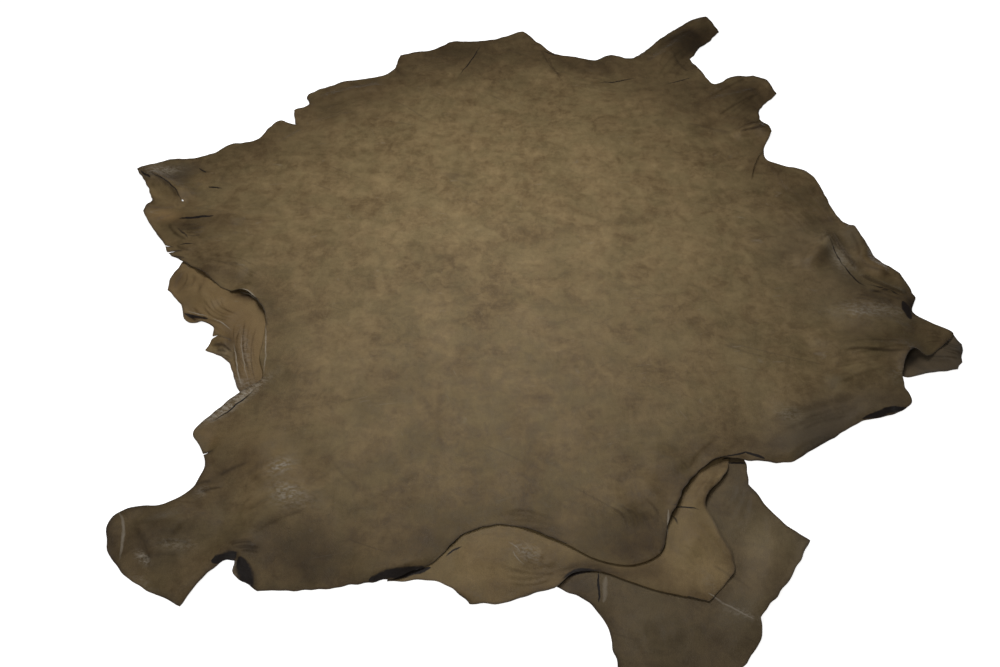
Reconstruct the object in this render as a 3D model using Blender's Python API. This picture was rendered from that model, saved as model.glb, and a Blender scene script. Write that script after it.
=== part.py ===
# A whole tanned hide lying loose on a floor, grain side up. It is one sheet: its near side is
# pleated under itself into three layers, a smaller pleat lies in the bay on the left, and the
# shank on the right is rolled under.
# Metres, +Z up. X runs to the right and Y away from the near side. The origin is on the floor,
# at the middle of the outline.

import math
from collections import namedtuple

import bmesh
import bpy
import numpy as np
from mathutils import Vector
from mathutils.geometry import delaunay_2d_cdt

THICKNESS = 0.002
LAYER_RISE = 0.005  # from the middle of one layer to the middle of the next
ROLL_STEPS = 4  # faces round each rolled edge of a pleat
EDGE_STEP = 0.027  # between points along a free edge
PLEAT_STEP = 0.026  # between points along a rolled edge
FINE_STEP = 0.036  # between points where the sheet bends: twice that where it is flat
BEND_LIMIT = 0.0006  # a bend this deep over one fine step gets the fine points
COVER_MARGIN = 0.010  # a layer bears on what is above it this far outside its own edge
LEATHER_COLOR = (0.165, 0.125, 0.075, 1.0)
LEATHER_ROUGHNESS = 0.62

# The outline is a smooth curve through its turns, clockwise as seen from above.
Turn = namedtuple("Turn", "place x y")

NECK_CORNER = (
    Turn("corner tip", -1.192, 0.270),
    Turn("corner top", -1.165, 0.312),
    Turn("corner shoulder", -1.120, 0.335),
    Turn("corner run", -1.040, 0.347),
    Turn("step foot", -0.968, 0.380),
    Turn("step", -0.932, 0.420),
    Turn("step top", -0.850, 0.452),
    Turn("rise", -0.790, 0.558),
    Turn("notch", -0.730, 0.535),
    Turn("nub", -0.746, 0.610),
    Turn("nub top", -0.704, 0.658),
)
FAR_BELLY = (
    Turn("flap corner", -0.718, 0.730),
    Turn("flap", -0.610, 0.805),
    Turn("flap end", -0.445, 0.862),
    Turn("belly foot", -0.418, 0.895),
    Turn("belly corner", -0.402, 0.990),
    Turn("belly", -0.285, 1.035),
    Turn("belly step", -0.203, 1.108),
    Turn("belly slit", -0.120, 1.110),
    Turn("crown", 0.064, 1.165),
    Turn("crown side", 0.126, 1.063),
    Turn("dip", 0.187, 0.996),
    Turn("dip low", 0.326, 0.960),
    Turn("hump", 0.398, 1.003),
    Turn("hump end", 0.464, 0.974),
)
FAR_SHANK = (
    Turn("shank root", 0.535, 1.042),
    Turn("shank side", 0.665, 1.212),
    Turn("shank tip", 0.735, 1.262),
    Turn("shank end", 0.786, 1.262),
    Turn("shank toe", 0.820, 1.165),
    Turn("shank underside", 0.740, 1.048),
    Turn("heel", 0.690, 0.978),
    Turn("heel drop", 0.727, 0.827),
    Turn("heel gap", 0.752, 0.792),
    Turn("lobe top", 0.820, 0.833),
    Turn("lobe corner", 0.912, 0.861),
    Turn("lobe side", 0.960, 0.733),
    Turn("lobe foot", 0.862, 0.600),
    Turn("folded bit", 0.885, 0.500),
    Turn("folded bit foot", 0.838, 0.395),
)
RUMP = (
    Turn("rump top", 0.846, 0.345),
    Turn("rump shoulder", 0.925, 0.300),
    Turn("rump corner", 0.984, 0.262),
    Turn("rump side", 0.979, 0.140),
    Turn("tail step", 1.003, 0.026),
    Turn("tail", 1.026, -0.004),
    Turn("tail foot", 1.039, -0.099),
    Turn("flare", 1.116, -0.190),
    Turn("flare side", 1.130, -0.285),
    Turn("rolled shank start", 1.098, -0.345),
    Turn("rolled shank", 1.132, -0.382),
    Turn("rolled shank end", 1.180, -0.422),
    Turn("shank flap", 1.137, -0.465),
    Turn("flap low", 1.074, -0.508),
    Turn("shank mouth", 1.040, -0.497),
    Turn("mouth side", 1.001, -0.552),
    Turn("mouth foot", 0.991, -0.607),
)
NEAR_RIGHT = (
    Turn("foot corner", 0.995, -0.650),
    Turn("foot run", 0.930, -0.694),
    Turn("foot run middle", 0.850, -0.713),
    Turn("foot run low", 0.790, -0.747),
    Turn("foot run end", 0.700, -0.802),
    Turn("foot low", 0.645, -0.824),
    Turn("over third layer", 0.558, -0.821),
    Turn("front right", 0.486, -0.823),
    Turn("front bend", 0.414, -0.874),
    Turn("front drop", 0.371, -0.935),
    Turn("front low", 0.345, -0.989),
    Turn("front pleat start", 0.318, -1.058),
    Turn("front pleat", 0.254, -1.088),
    Turn("front pleat middle", 0.179, -1.075),
    Turn("front pleat end", 0.117, -1.040),
    Turn("front", 0.036, -1.003),
    Turn("front rise", -0.042, -0.991),
    Turn("front left", -0.107, -1.016),
    Turn("front end", -0.172, -1.080),
)
NEAR_LEFT = (
    Turn("near run", -0.237, -1.112),
    Turn("near middle", -0.312, -1.130),
    Turn("near low", -0.443, -1.142),
    Turn("near corner", -0.535, -1.146),
    Turn("near notch side", -0.592, -1.105),
    Turn("near notch", -0.596, -1.076),
    Turn("near notch end", -0.615, -1.066),
    Turn("left shank heel", -0.650, -1.098),
    Turn("left shank point", -0.688, -1.176),
    Turn("left shank run", -0.767, -1.143),
    Turn("left shank side", -0.829, -1.102),
    Turn("left shank end", -0.878, -1.066),
    Turn("left shank tip", -0.893, -0.995),
    Turn("left shank top", -0.868, -0.953),
    Turn("left shank neck", -0.782, -0.926),
    Turn("left shank root", -0.735, -0.898),
)
LEFT_BAY = (
    Turn("left hip", -0.709, -0.841),
    Turn("left hip notch", -0.727, -0.797),
    Turn("left point", -0.765, -0.757),
    Turn("left point side", -0.734, -0.694),
    Turn("bay foot", -0.672, -0.618),
    Turn("bay pleat start", -0.632, -0.575),
    Turn("bay pleat low", -0.651, -0.505),
    Turn("bay pleat high", -0.653, -0.450),
    Turn("bay pleat end", -0.657, -0.392),
    Turn("bay curl", -0.682, -0.322),
    Turn("bay corner", -0.738, -0.272),
    Turn("bay pocket", -0.778, -0.268),
    Turn("bay top", -0.849, -0.211),
    Turn("bay end", -0.930, -0.155),
    Turn("ragged foot", -0.985, -0.120),
    Turn("ragged", -1.024, -0.061),
    Turn("ragged side", -1.070, -0.003),
    Turn("neck point", -1.110, 0.057),
    Turn("neck notch", -1.101, 0.105),
    Turn("neck side", -1.140, 0.199),
)
TOP_EDGE = NECK_CORNER + FAR_BELLY + FAR_SHANK + RUMP + NEAR_RIGHT + NEAR_LEFT + LEFT_BAY

# The free edges of the panels under the top one, from one end of their pleat to the other.
# Rows marked inner lie under the panel above.
SECOND_EDGE = (
    Turn("inner right", 0.345, -0.900),
    Turn("inner corner", 0.430, -0.820),
    Turn("inner end", 0.487, -0.790),
    Turn("right end", 0.507, -0.820),
    Turn("right curve", 0.482, -0.876),
    Turn("right neck", 0.431, -0.936),
    Turn("right turn", 0.442, -0.981),
    Turn("right side", 0.468, -1.060),
    Turn("right corner", 0.468, -1.100),
    Turn("right point", 0.404, -1.168),
    Turn("under pleat start", 0.361, -1.157),
    Turn("under pleat", 0.301, -1.143),
    Turn("under pleat middle", 0.240, -1.121),
    Turn("under pleat end", 0.184, -1.101),
    Turn("gap", 0.130, -1.106),
    Turn("lobe side", 0.087, -1.136),
    Turn("lobe low", -0.007, -1.160),
    Turn("lobe corner", -0.082, -1.172),
    Turn("lobe left", -0.139, -1.119),
    Turn("left end", -0.176, -1.079),
    Turn("inner left", -0.120, -1.010),
    Turn("inner run", 0.020, -0.955),
)
THIRD_EDGE = (
    Turn("inner right", 0.400, -1.000),
    Turn("inner corner", 0.430, -0.850),
    Turn("inner end", 0.515, -0.785),
    Turn("right end", 0.545, -0.820),
    Turn("right side", 0.540, -0.893),
    Turn("right run", 0.590, -0.978),
    Turn("right point", 0.632, -1.031),
    Turn("right low", 0.578, -1.108),
    Turn("right hollow", 0.501, -1.206),
    Turn("right nub", 0.496, -1.238),
    Turn("near right", 0.424, -1.305),
    Turn("near", 0.330, -1.370),
    Turn("near left", 0.222, -1.352),
    Turn("left side", 0.197, -1.275),
    Turn("left run", 0.198, -1.210),
    Turn("left shoulder", 0.152, -1.156),
    Turn("left top", 0.095, -1.128),
    Turn("inner left", 0.120, -1.075),
)
BAY_EDGE = (
    Turn("inner low", -0.600, -0.610),
    Turn("low end", -0.662, -0.628),
    Turn("low side", -0.697, -0.565),
    Turn("crumple foot", -0.728, -0.512),
    Turn("crumple low", -0.800, -0.482),
    Turn("crumple notch", -0.786, -0.448),
    Turn("crumple", -0.786, -0.420),
    Turn("crumple top", -0.877, -0.370),
    Turn("tip low", -0.910, -0.312),
    Turn("tip", -0.957, -0.262),
    Turn("tip side", -0.962, -0.195),
    Turn("top end", -0.930, -0.120),
    Turn("inner top", -0.800, -0.170),
    Turn("inner run", -0.680, -0.250),
)
SHANK_EDGE = (
    Turn("inner start", 1.045, -0.350),
    Turn("inner", 1.000, -0.430),
    Turn("inner foot", 0.975, -0.520),
    Turn("foot", 1.005, -0.560),
    Turn("near side", 1.085, -0.549),
    Turn("tip foot", 1.150, -0.543),
    Turn("tip", 1.178, -0.515),
    Turn("tip top", 1.190, -0.452),
)

# Where one panel rolls under into the next: its start and end turn on the upper panel's edge,
# and how far it runs back under before it rolls forward again. The shank only rolls once.
Pleat = namedtuple("Pleat", "place upper start end back_x back_y lower turns")
PLEATS = (
    Pleat("front", "top", "front pleat start", "front pleat end", -0.016, 0.062, "second", SECOND_EDGE),
    Pleat("under", "second", "under pleat start", "under pleat end", -0.016, 0.050, "third", THIRD_EDGE),
    Pleat("bay", "top", "bay pleat start", "bay pleat end", 0.056, 0.004, "bay", BAY_EDGE),
    Pleat("shank", "top", "rolled shank start", "rolled shank end", 0.0, 0.0, "shank", SHANK_EDGE),
)

# Soft ridges of the top panel and of the two under it, each along a bowed line.
Ridge = namedtuple("Ridge", "place x1 y1 x2 y2 bow width height")
TOP_RIDGES = (
    Ridge("corner fold", -1.175, 0.262, -0.990, 0.125, 0.010, 0.030, 0.019),
    Ridge("neck slit", -1.030, 0.084, -0.800, 0.030, 0.005, 0.026, 0.014),
    Ridge("bay roll", -0.760, -0.235, -0.640, -0.420, -0.030, 0.040, 0.019),
    Ridge("bay shoulder", -0.900, -0.160, -0.740, -0.190, 0.010, 0.035, 0.011),
    Ridge("tail fold", 0.958, -0.020, 0.840, -0.175, 0.008, 0.026, 0.024),
    Ridge("tail side", 1.010, 0.000, 1.020, -0.150, 0.012, 0.026, 0.022),
    Ridge("flare fold", 0.990, -0.130, 1.075, -0.205, 0.006, 0.024, 0.016),
    Ridge("shank upper", 0.860, -0.340, 1.080, -0.430, 0.008, 0.032, 0.014),
    Ridge("shank middle", 0.780, -0.450, 1.050, -0.475, -0.008, 0.032, 0.016),
    Ridge("shank lower", 0.790, -0.600, 0.990, -0.545, 0.006, 0.032, 0.014),
    Ridge("far shank", 0.520, 0.890, 0.770, 1.200, 0.010, 0.034, 0.016),
    Ridge("far dip", 0.100, 1.120, 0.330, 0.955, -0.012, 0.030, 0.012),
    Ridge("far lobe", 0.690, 0.650, 0.910, 0.740, 0.012, 0.034, 0.014),
    Ridge("folded bit", 0.760, 0.470, 0.872, 0.520, 0.006, 0.026, 0.016),
    Ridge("left shank", -0.640, -0.975, -0.850, -1.030, -0.010, 0.036, 0.016),
    Ridge("near notch", -0.600, -1.020, -0.420, -0.920, 0.015, 0.045, 0.012),
    Ridge("front fan left", 0.300, -1.010, 0.200, -0.880, 0.010, 0.028, 0.008),
    Ridge("front fan", 0.345, -0.955, 0.285, -0.850, 0.006, 0.024, 0.008),
    Ridge("front fan right", 0.410, -0.850, 0.320, -0.780, 0.006, 0.026, 0.008),
    Ridge("far flap", -0.680, 0.690, -0.430, 0.800, 0.006, 0.026, 0.011),
    Ridge("left hip", -0.720, -0.780, -0.560, -0.800, 0.010, 0.040, 0.011),
)
SECOND_RIDGES = (
    Ridge("lobe fold", -0.130, -1.085, 0.060, -1.090, 0.012, 0.026, 0.008),
    Ridge("right fold", 0.440, -1.000, 0.330, -1.125, -0.014, 0.026, 0.009),
)
THIRD_RIDGES = (
    Ridge("long fold", 0.580, -1.010, 0.420, -1.290, 0.016, 0.038, 0.012),
    Ridge("left fold", 0.230, -1.210, 0.290, -1.330, 0.010, 0.030, 0.008),
)
BAY_RIDGES = (
    Ridge("tip fold", -0.930, -0.250, -0.800, -0.330, 0.010, 0.024, 0.014),
    Ridge("crumple", -0.860, -0.375, -0.730, -0.490, 0.008, 0.018, 0.015),
)
RIDGES = {"top": TOP_RIDGES, "second": SECOND_RIDGES, "third": THIRD_RIDGES, "bay": BAY_RIDGES, "shank": ()}

# Places where the free edge of the top panel stands up off the floor.
Lift = namedtuple("Lift", "place x y radius height")
LIFTS = (
    Lift("corner tip", -1.190, 0.290, 0.060, 0.022),
    Lift("neck point", -1.110, 0.060, 0.050, 0.019),
    Lift("nub", -0.745, 0.620, 0.050, 0.016),
    Lift("crown", 0.060, 1.150, 0.070, 0.014),
    Lift("far shank", 0.800, 1.230, 0.070, 0.027),
    Lift("far lobe", 0.940, 0.800, 0.060, 0.016),
    Lift("folded bit", 0.885, 0.510, 0.045, 0.022),
    Lift("tail", 1.030, -0.010, 0.050, 0.019),
    Lift("shank mouth", 1.035, -0.505, 0.040, 0.022),
    Lift("foot", 0.900, -0.690, 0.080, 0.019),
    Lift("near right", 0.700, -0.790, 0.075, 0.019),
    Lift("near middle", -0.260, -1.110, 0.080, 0.018),
    Lift("near notch", -0.600, -1.065, 0.050, 0.024),
    Lift("left shank point", -0.690, -1.165, 0.050, 0.014),
    Lift("left shank tip", -0.895, -1.000, 0.060, 0.016),
    Lift("left point", -0.750, -0.760, 0.045, 0.016),
)

# The outline's middle in the tables above, which becomes the origin.
MIDDLE = (-0.001, -0.053)

TOP_REACH = 0.110  # how far the top panel takes to come down beside what lies under it
UNDER_REACH = 0.060  # the same for the panels below
FLAT_MOUNT = (-0.25, -0.20, 0.18)  # middle x, y and half width of the stretch kept flat


def blend(share):
    share = np.clip(share, 0.0, 1.0)
    return share * share * (3.0 - 2.0 * share)


def curve_point(before, start, end, after, share):
    """A point on the centripetal curve that passes through start and end."""
    knots = [0.0]
    points = [before, start, end, after]
    for a, b in zip(points, points[1:]):
        knots.append(knots[-1] + max(math.dist(a, b), 1e-6) ** 0.5)
    t = knots[1] + share * (knots[2] - knots[1])

    def mix(p, q, t0, t1):
        return (p * (t1 - t) + q * (t - t0)) / (t1 - t0)

    first = mix(before, start, knots[0], knots[1])
    middle = mix(start, end, knots[1], knots[2])
    last = mix(end, after, knots[2], knots[3])
    left = mix(first, middle, knots[0], knots[2])
    right = mix(middle, last, knots[1], knots[3])
    return mix(left, right, knots[1], knots[2])


def smooth_edge(turns, closed):
    """Points along the smooth curve through the turns, and the index of each turn in them."""
    at = [np.array((turn.x, turn.y)) for turn in turns]
    count = len(at)
    points = []
    index = {}
    for i in range(count if closed else count - 1):
        after = at[(i + 2) % count] if closed or i + 2 < count else 2 * at[-1] - at[-2]
        before = at[i - 1] if closed or i > 0 else 2 * at[0] - at[1]
        index[turns[i].place] = len(points)
        step = PLEAT_STEP if "pleat" in turns[i].place or "rolled" in turns[i].place else EDGE_STEP
        pieces = max(1, round(math.dist(at[i], at[(i + 1) % count]) / step))
        for k in range(pieces):
            points.append(curve_point(before, at[i], at[(i + 1) % count], after, k / pieces))
    if not closed:
        index[turns[-1].place] = len(points)
        points.append(at[-1])
    return np.array(points), index


def distances(points, ring):
    """How far each point lies outside the closed ring, and how far inside it."""
    starts, ends = ring, np.roll(ring, -1, axis=0)
    run = ends - starts
    offset = points[:, None, :] - starts[None]
    along = np.clip((offset * run).sum(2) / (run * run).sum(1), 0.0, 1.0)
    gap = np.hypot(*np.moveaxis(offset - along[..., None] * run, 2, 0)).min(axis=1)
    y = points[:, None, 1]
    crosses = (starts[:, 1] > y) != (ends[:, 1] > y)
    rise = np.where(run[:, 1] == 0, 1.0, run[:, 1])
    meets = starts[:, 0] + (y - starts[:, 1]) * run[:, 0] / rise
    inside = (crosses & (points[:, None, 0] < meets)).sum(axis=1) % 2 == 1
    return np.where(inside, 0.0, gap), np.where(inside, gap, 0.0)


def cover(points, ring, reach):
    """1 over and close to the ring, falling to 0 at the reach."""
    outside = distances(points, ring)[0]
    return blend(1.0 - (outside - COVER_MARGIN) / reach)


def ridge_height(points, ridges):
    height = np.zeros(len(points))
    for ridge in ridges:
        start = np.array((ridge.x1, ridge.y1))
        run = np.array((ridge.x2, ridge.y2)) - start
        length = np.hypot(*run)
        offset = points - start
        along = offset @ run / length**2
        side = (offset[:, 1] * run[0] - offset[:, 0] * run[1]) / length
        side = side - 4.0 * ridge.bow * along * (1.0 - along)
        past = np.clip(np.abs(along - 0.5) - 0.5, 0.0, None) * length
        taper = blend(1.25 - 1.25 * np.abs(2.0 * along - 1.0) ** 2)
        shape = np.exp(-((side / ridge.width) ** 2)) * np.exp(-((past / ridge.width) ** 2))
        height += ridge.height * shape * taper
    return height


def lift_height(points):
    height = np.zeros(len(points))
    for lift in LIFTS:
        away = np.hypot(points[:, 0] - lift.x, points[:, 1] - lift.y)
        height += lift.height * np.exp(-((away / lift.radius) ** 2))
    return height


class Hide:
    """The hide's middle surface: its panels and the pleats between them, as points and faces."""

    def __init__(self):
        self.rings = {}
        self.marks = {}
        self.strips = {}
        self.mesh = bmesh.new()
        self.lay_out()

    def lay_out(self):
        """Each panel's ring of edge points, and each pleat's strip as a closed footprint."""
        self.rings["top"], self.marks["top"] = smooth_edge(TOP_EDGE, True)
        for pleat in PLEATS:
            upper = self.rings[pleat.upper]
            mark = self.marks[pleat.upper]
            roll = upper[mark[pleat.start] : mark[pleat.end] + 1]
            back = roll + np.array((pleat.back_x, pleat.back_y))
            ends = (Turn("roll end", *back[-1]), Turn("roll start", *back[0]))
            # Seen along the ring, the lower panel's own free edge starts where its roll ends.
            free, marks = smooth_edge(ends[1:] + pleat.turns + ends[:1], False)
            self.rings[pleat.lower] = np.vstack([back[::-1], free[1:-1]])
            self.marks[pleat.lower] = {k: v + len(back) - 1 for k, v in marks.items()}
            self.strips[pleat.place] = np.vstack([roll, back[::-1]]) if pleat.back_y else None

    def under(self, panel):
        """The footprints that lie under a panel or a strip."""
        below = {
            "top": ("second", "front", "third", "under", "bay panel", "bay", "shank"),
            "second": ("third", "under"),
        }
        found = []
        for name in below.get(panel, ()):
            if name == "bay panel":
                found.append(self.rings["bay"])
            elif name in self.strips and self.strips[name] is not None:
                found.append(self.strips[name])
            else:
                found.append(self.rings[name])
        return found

    def height(self, panel, points):
        """How high the middle of a panel lies over each point."""
        points = np.atleast_2d(points)
        reach = TOP_REACH if panel == "top" else UNDER_REACH
        height = np.full(len(points), THICKNESS / 2)
        for footprint in self.under(panel):
            height += LAYER_RISE * cover(points, footprint, reach)
        relief = ridge_height(points, RIDGES[panel])
        if panel == "top":
            relief += lift_height(points)
            x, y, half = FLAT_MOUNT
            relief *= blend(np.hypot(points[:, 0] - x, points[:, 1] - y) / half - 1.0)
        else:
            relief *= 1.0 - cover(points, self.rings["top"], UNDER_REACH / 2)
            if panel == "third":
                relief *= 1.0 - cover(points, self.rings["second"], UNDER_REACH / 2)
        for pleat in PLEATS:
            if panel in (pleat.upper, pleat.lower) and self.strips[pleat.place] is not None:
                relief *= 1.0 - cover(points, self.strips[pleat.place], UNDER_REACH)
        return height + relief


def lattice(ring, step):
    """Points of an even triangular lattice over the ring's box, and which make up the coarse one."""
    low, high = ring.min(axis=0), ring.max(axis=0)
    rows = int((high[1] - low[1]) / (step * 3**0.5 / 2)) + 2
    columns = int((high[0] - low[0]) / step) + 3
    row, column = np.mgrid[0:rows, -1:columns]
    x = low[0] + step * (column + 0.5 * (row % 2))
    y = low[1] + step * row * 3**0.5 / 2
    coarse = (row % 2 == 0) & ((column + (row // 2) % 2) % 2 == 0)
    return np.column_stack([x.ravel(), y.ravel()]), coarse.ravel()


def inner_points(hide, panel):
    """The points inside a panel: close together where it bends, and far apart where it is flat."""
    ring = hide.rings[panel]
    points, coarse = lattice(ring, FINE_STEP)
    keep = distances(points, ring)[1] > 0.55 * FINE_STEP
    points, coarse = points[keep], coarse[keep]
    here = hide.height(panel, points)
    bend = np.zeros(len(points))
    for dx, dy in ((FINE_STEP, 0.0), (0.0, FINE_STEP), (0.7 * FINE_STEP, 0.7 * FINE_STEP)):
        ahead = hide.height(panel, points + np.array((dx, dy)))
        behind = hide.height(panel, points - np.array((dx, dy)))
        bend = np.maximum(bend, np.abs(ahead + behind - 2.0 * here))
    return points[coarse | (bend > BEND_LIMIT)]


def add_panel(hide, panel, face_up):
    """Fills a panel with triangles, and gives back the mesh points of its ring."""
    ring = hide.rings[panel]
    points = np.vstack([ring, inner_points(hide, panel)])
    after = np.roll(ring, -1, axis=0)
    clockwise = (ring[:, 0] * after[:, 1] - ring[:, 1] * after[:, 0]).sum() < 0
    whole = list(range(len(ring)))[:: -1 if clockwise else 1]
    cut = delaunay_2d_cdt([Vector(p) for p in points], [], [whole], 1, 1e-6, True)
    flat, _, faces, sources, _, covered = cut
    places = np.array([tuple(p) for p in flat])
    heights = hide.height(panel, places)
    made = [hide.mesh.verts.new((x, y, z)) for (x, y), z in zip(places, heights)]
    for face, whole_face in zip(faces, covered):
        corners = [made[i] for i in face]
        if whole_face:
            hide.mesh.faces.new(corners if face_up else corners[::-1])
    found = {source: made[i] for i, group in enumerate(sources) for source in group}
    return [found[i] for i in range(len(ring))]


def add_roll(rows, place, out, middle, first, last):
    """Rows of points half way round a rolled edge, from one height to the next."""
    radius = abs(last - first) / 2
    for step in range(1, ROLL_STEPS):
        angle = math.pi * step / ROLL_STEPS
        side = out * radius * math.sin(angle)
        rows.append((place + side, middle + (first - middle) * math.cos(angle)))


def add_pleat(hide, pleat, upper_ring, lower_ring):
    """The rolled strip that joins an upper panel's edge to the panel under it."""
    mark = hide.marks[pleat.upper]
    start, end = mark[pleat.start], mark[pleat.end]
    top_points = upper_ring[start : end + 1]
    bottom_points = lower_ring[: len(top_points)][::-1]
    chord = hide.rings[pleat.upper][end] - hide.rings[pleat.upper][start]
    out = np.array((-chord[1], chord[0])) / np.hypot(*chord)
    columns = []
    for top, bottom in zip(top_points, bottom_points):
        upper = np.array(top.co[:2])
        lower = np.array(bottom.co[:2])
        rows = []
        if pleat.back_y:
            bottom.co.z = hide.height(pleat.upper, lower)[0] - 2 * LAYER_RISE
            strip_start = top.co.z - LAYER_RISE
            strip_end = bottom.co.z + LAYER_RISE
            add_roll(rows, upper, out, top.co.z - LAYER_RISE / 2, top.co.z, strip_start)
            half = (upper + lower) / 2
            rows.append((upper, strip_start))
            rows.append((half, hide.height(pleat.upper, half)[0] - LAYER_RISE))
            rows.append((lower, strip_end))
            add_roll(rows, lower, -out, bottom.co.z + LAYER_RISE / 2, strip_end, bottom.co.z)
        else:
            add_roll(rows, upper, out, (top.co.z + bottom.co.z) / 2, top.co.z, bottom.co.z)
        made = [hide.mesh.verts.new((*place, height)) for place, height in rows]
        columns.append([top] + made + [bottom])
    for left, right in zip(columns, columns[1:]):
        for i in range(len(left) - 1):
            hide.mesh.faces.new((right[i], right[i + 1], left[i + 1], left[i]))


def leather():
    material = bpy.data.materials.new("hide_leather")
    material.use_nodes = True
    shader = material.node_tree.nodes["Principled BSDF"]
    shader.inputs["Base Color"].default_value = LEATHER_COLOR
    shader.inputs["Roughness"].default_value = LEATHER_ROUGHNESS
    shader.inputs["Metallic"].default_value = 0.0
    return material


def build_hide():
    hide = Hide()
    rings = {"top": add_panel(hide, "top", True)}
    for pleat in PLEATS:
        rings[pleat.lower] = add_panel(hide, pleat.lower, bool(pleat.back_y))
        add_pleat(hide, pleat, rings[pleat.upper], rings[pleat.lower])
    bmesh.ops.translate(hide.mesh, verts=hide.mesh.verts, vec=(-MIDDLE[0], -MIDDLE[1], 0.0))
    mesh = bpy.data.meshes.new("hide")
    hide.mesh.to_mesh(mesh)
    hide.mesh.free()
    mesh.materials.append(leather())
    mesh.shade_smooth()
    piece = bpy.data.objects.new("hide", mesh)
    bpy.context.scene.collection.objects.link(piece)
    wall = piece.modifiers.new("thickness", "SOLIDIFY")
    wall.thickness = THICKNESS
    wall.offset = 0.0
    return piece


def main():
    for old in list(bpy.data.objects):
        bpy.data.objects.remove(old)
    build_hide()


main()
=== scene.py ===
# The finished leather hide: one sheet lying loose on a pale floor, grain side up, its near side
# pleated under itself, a smaller pleat in the left bay, and the right shank rolled under.

import math
from collections import namedtuple

import bpy
import bmesh
import numpy as np
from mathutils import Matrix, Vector
from mathutils.geometry import delaunay_2d_cdt


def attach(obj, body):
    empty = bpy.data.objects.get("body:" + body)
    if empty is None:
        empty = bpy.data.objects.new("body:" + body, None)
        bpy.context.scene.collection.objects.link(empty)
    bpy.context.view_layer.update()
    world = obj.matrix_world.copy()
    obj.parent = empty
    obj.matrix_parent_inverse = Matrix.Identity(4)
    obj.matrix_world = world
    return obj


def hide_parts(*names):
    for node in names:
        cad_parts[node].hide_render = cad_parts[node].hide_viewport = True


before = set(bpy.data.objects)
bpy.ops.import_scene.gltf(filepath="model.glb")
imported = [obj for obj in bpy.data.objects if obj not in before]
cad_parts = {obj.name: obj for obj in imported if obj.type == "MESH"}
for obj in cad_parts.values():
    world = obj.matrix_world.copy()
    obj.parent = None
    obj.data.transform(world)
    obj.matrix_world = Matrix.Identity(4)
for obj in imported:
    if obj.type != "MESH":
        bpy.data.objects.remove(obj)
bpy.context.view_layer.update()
print("stage 1: frame loaded")

# Outline and pleats

hideSizes = {
    "thickness": 0.0019,
    "layerRise": 0.0023,      # from the middle of one layer to the middle of the next
    "rollSteps": 8,
    "edgeStep": 0.0075,
    "fineStep": 0.0075,       # where the sheet bends
    "bendLimit": 0.00040,
    "coverMargin": 0.010,     # a layer bears on what is above it this far outside its own edge
    "topReach": 0.110,        # how far the top panel takes to come down beside what lies under it
    "underReach": 0.060,
    "middleX": -0.001,        # the outline's middle in the tables, which becomes the origin
    "middleY": -0.053,
    "fineEdge": 0.022,        # how far the fine points run in from the edge
    "creaseStep": 0.006,      # between points along a crease
    "raggedness": 0.0011,     # how far the cut edge wanders
    "seed": 7,
}


def rowsOf(kind, rows):
    return tuple(kind(*row) for row in rows)


Turn = namedtuple("Turn", "place x y")

neckCorner = rowsOf(Turn, (
    ("corner tip", -1.192, 0.27),
    ("corner top", -1.16, 0.303),
    ("corner shoulder", -1.12, 0.335),
    ("corner run", -1.04, 0.352),
    ("step foot", -0.969, 0.386),
    ("step", -0.933, 0.427),
    ("step top", -0.851, 0.459),
    ("rise", -0.793, 0.563),
    ("notch", -0.73, 0.535),
    ("nub", -0.746, 0.61),
    ("nub top", -0.704, 0.658),
))
farBelly = rowsOf(Turn, (
    ("flap corner", -0.718, 0.73),
    ("flap", -0.611, 0.812),
    ("flap end", -0.447, 0.869),
    ("belly foot", -0.424, 0.901),
    ("belly corner", -0.408, 0.994),
    ("belly", -0.285, 1.035),
    ("belly step", -0.203, 1.108),
    ("belly slit", -0.12, 1.11),
    ("crown", 0.062, 1.156),
    ("crown side", 0.13, 1.072),
    ("dip", 0.187, 1.005),
    ("dip low", 0.326, 0.967),
    ("hump", 0.398, 1.008),
    ("hump end", 0.464, 0.974),
))
farShank = rowsOf(Turn, (
    ("shank root", 0.535, 1.042),
    ("shank side", 0.668, 1.192),
    ("shank tip", 0.738, 1.24),
    ("shank end", 0.79, 1.245),
    ("shank toe", 0.832, 1.163),
    ("shank underside", 0.74, 1.048),
    ("heel", 0.69, 0.978),
    ("heel drop", 0.735, 0.838),
    ("heel gap", 0.754, 0.802),
    ("lobe top", 0.82, 0.833),
    ("lobe corner", 0.905, 0.849),
    ("lobe side", 0.966, 0.735),
    ("lobe foot", 0.872, 0.602),
    ("folded bit", 0.891, 0.486),
    ("folded bit foot", 0.85, 0.4),
))
rump = rowsOf(Turn, (
    ("rump top", 0.846, 0.345),
    ("rump shoulder", 0.922, 0.292),
    ("rump corner", 0.976, 0.252),
    ("rump side", 0.986, 0.142),
    ("tail step", 1.003, 0.026),
    ("tail", 1.017, -0.012),
    ("tail foot", 1.039, -0.099),
    ("flare", 1.108, -0.196),
    ("flare side", 1.12, -0.29),
    ("rolled shank start", 1.098, -0.345),
    ("rolled shank", 1.132, -0.382),
    ("rolled shank end", 1.18, -0.422),
    ("shank flap", 1.137, -0.465),
    ("flap low", 1.074, -0.508),
    ("shank mouth", 1.04, -0.497),
    ("mouth side", 1.001, -0.552),
    ("mouth foot", 0.991, -0.607),
))
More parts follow.
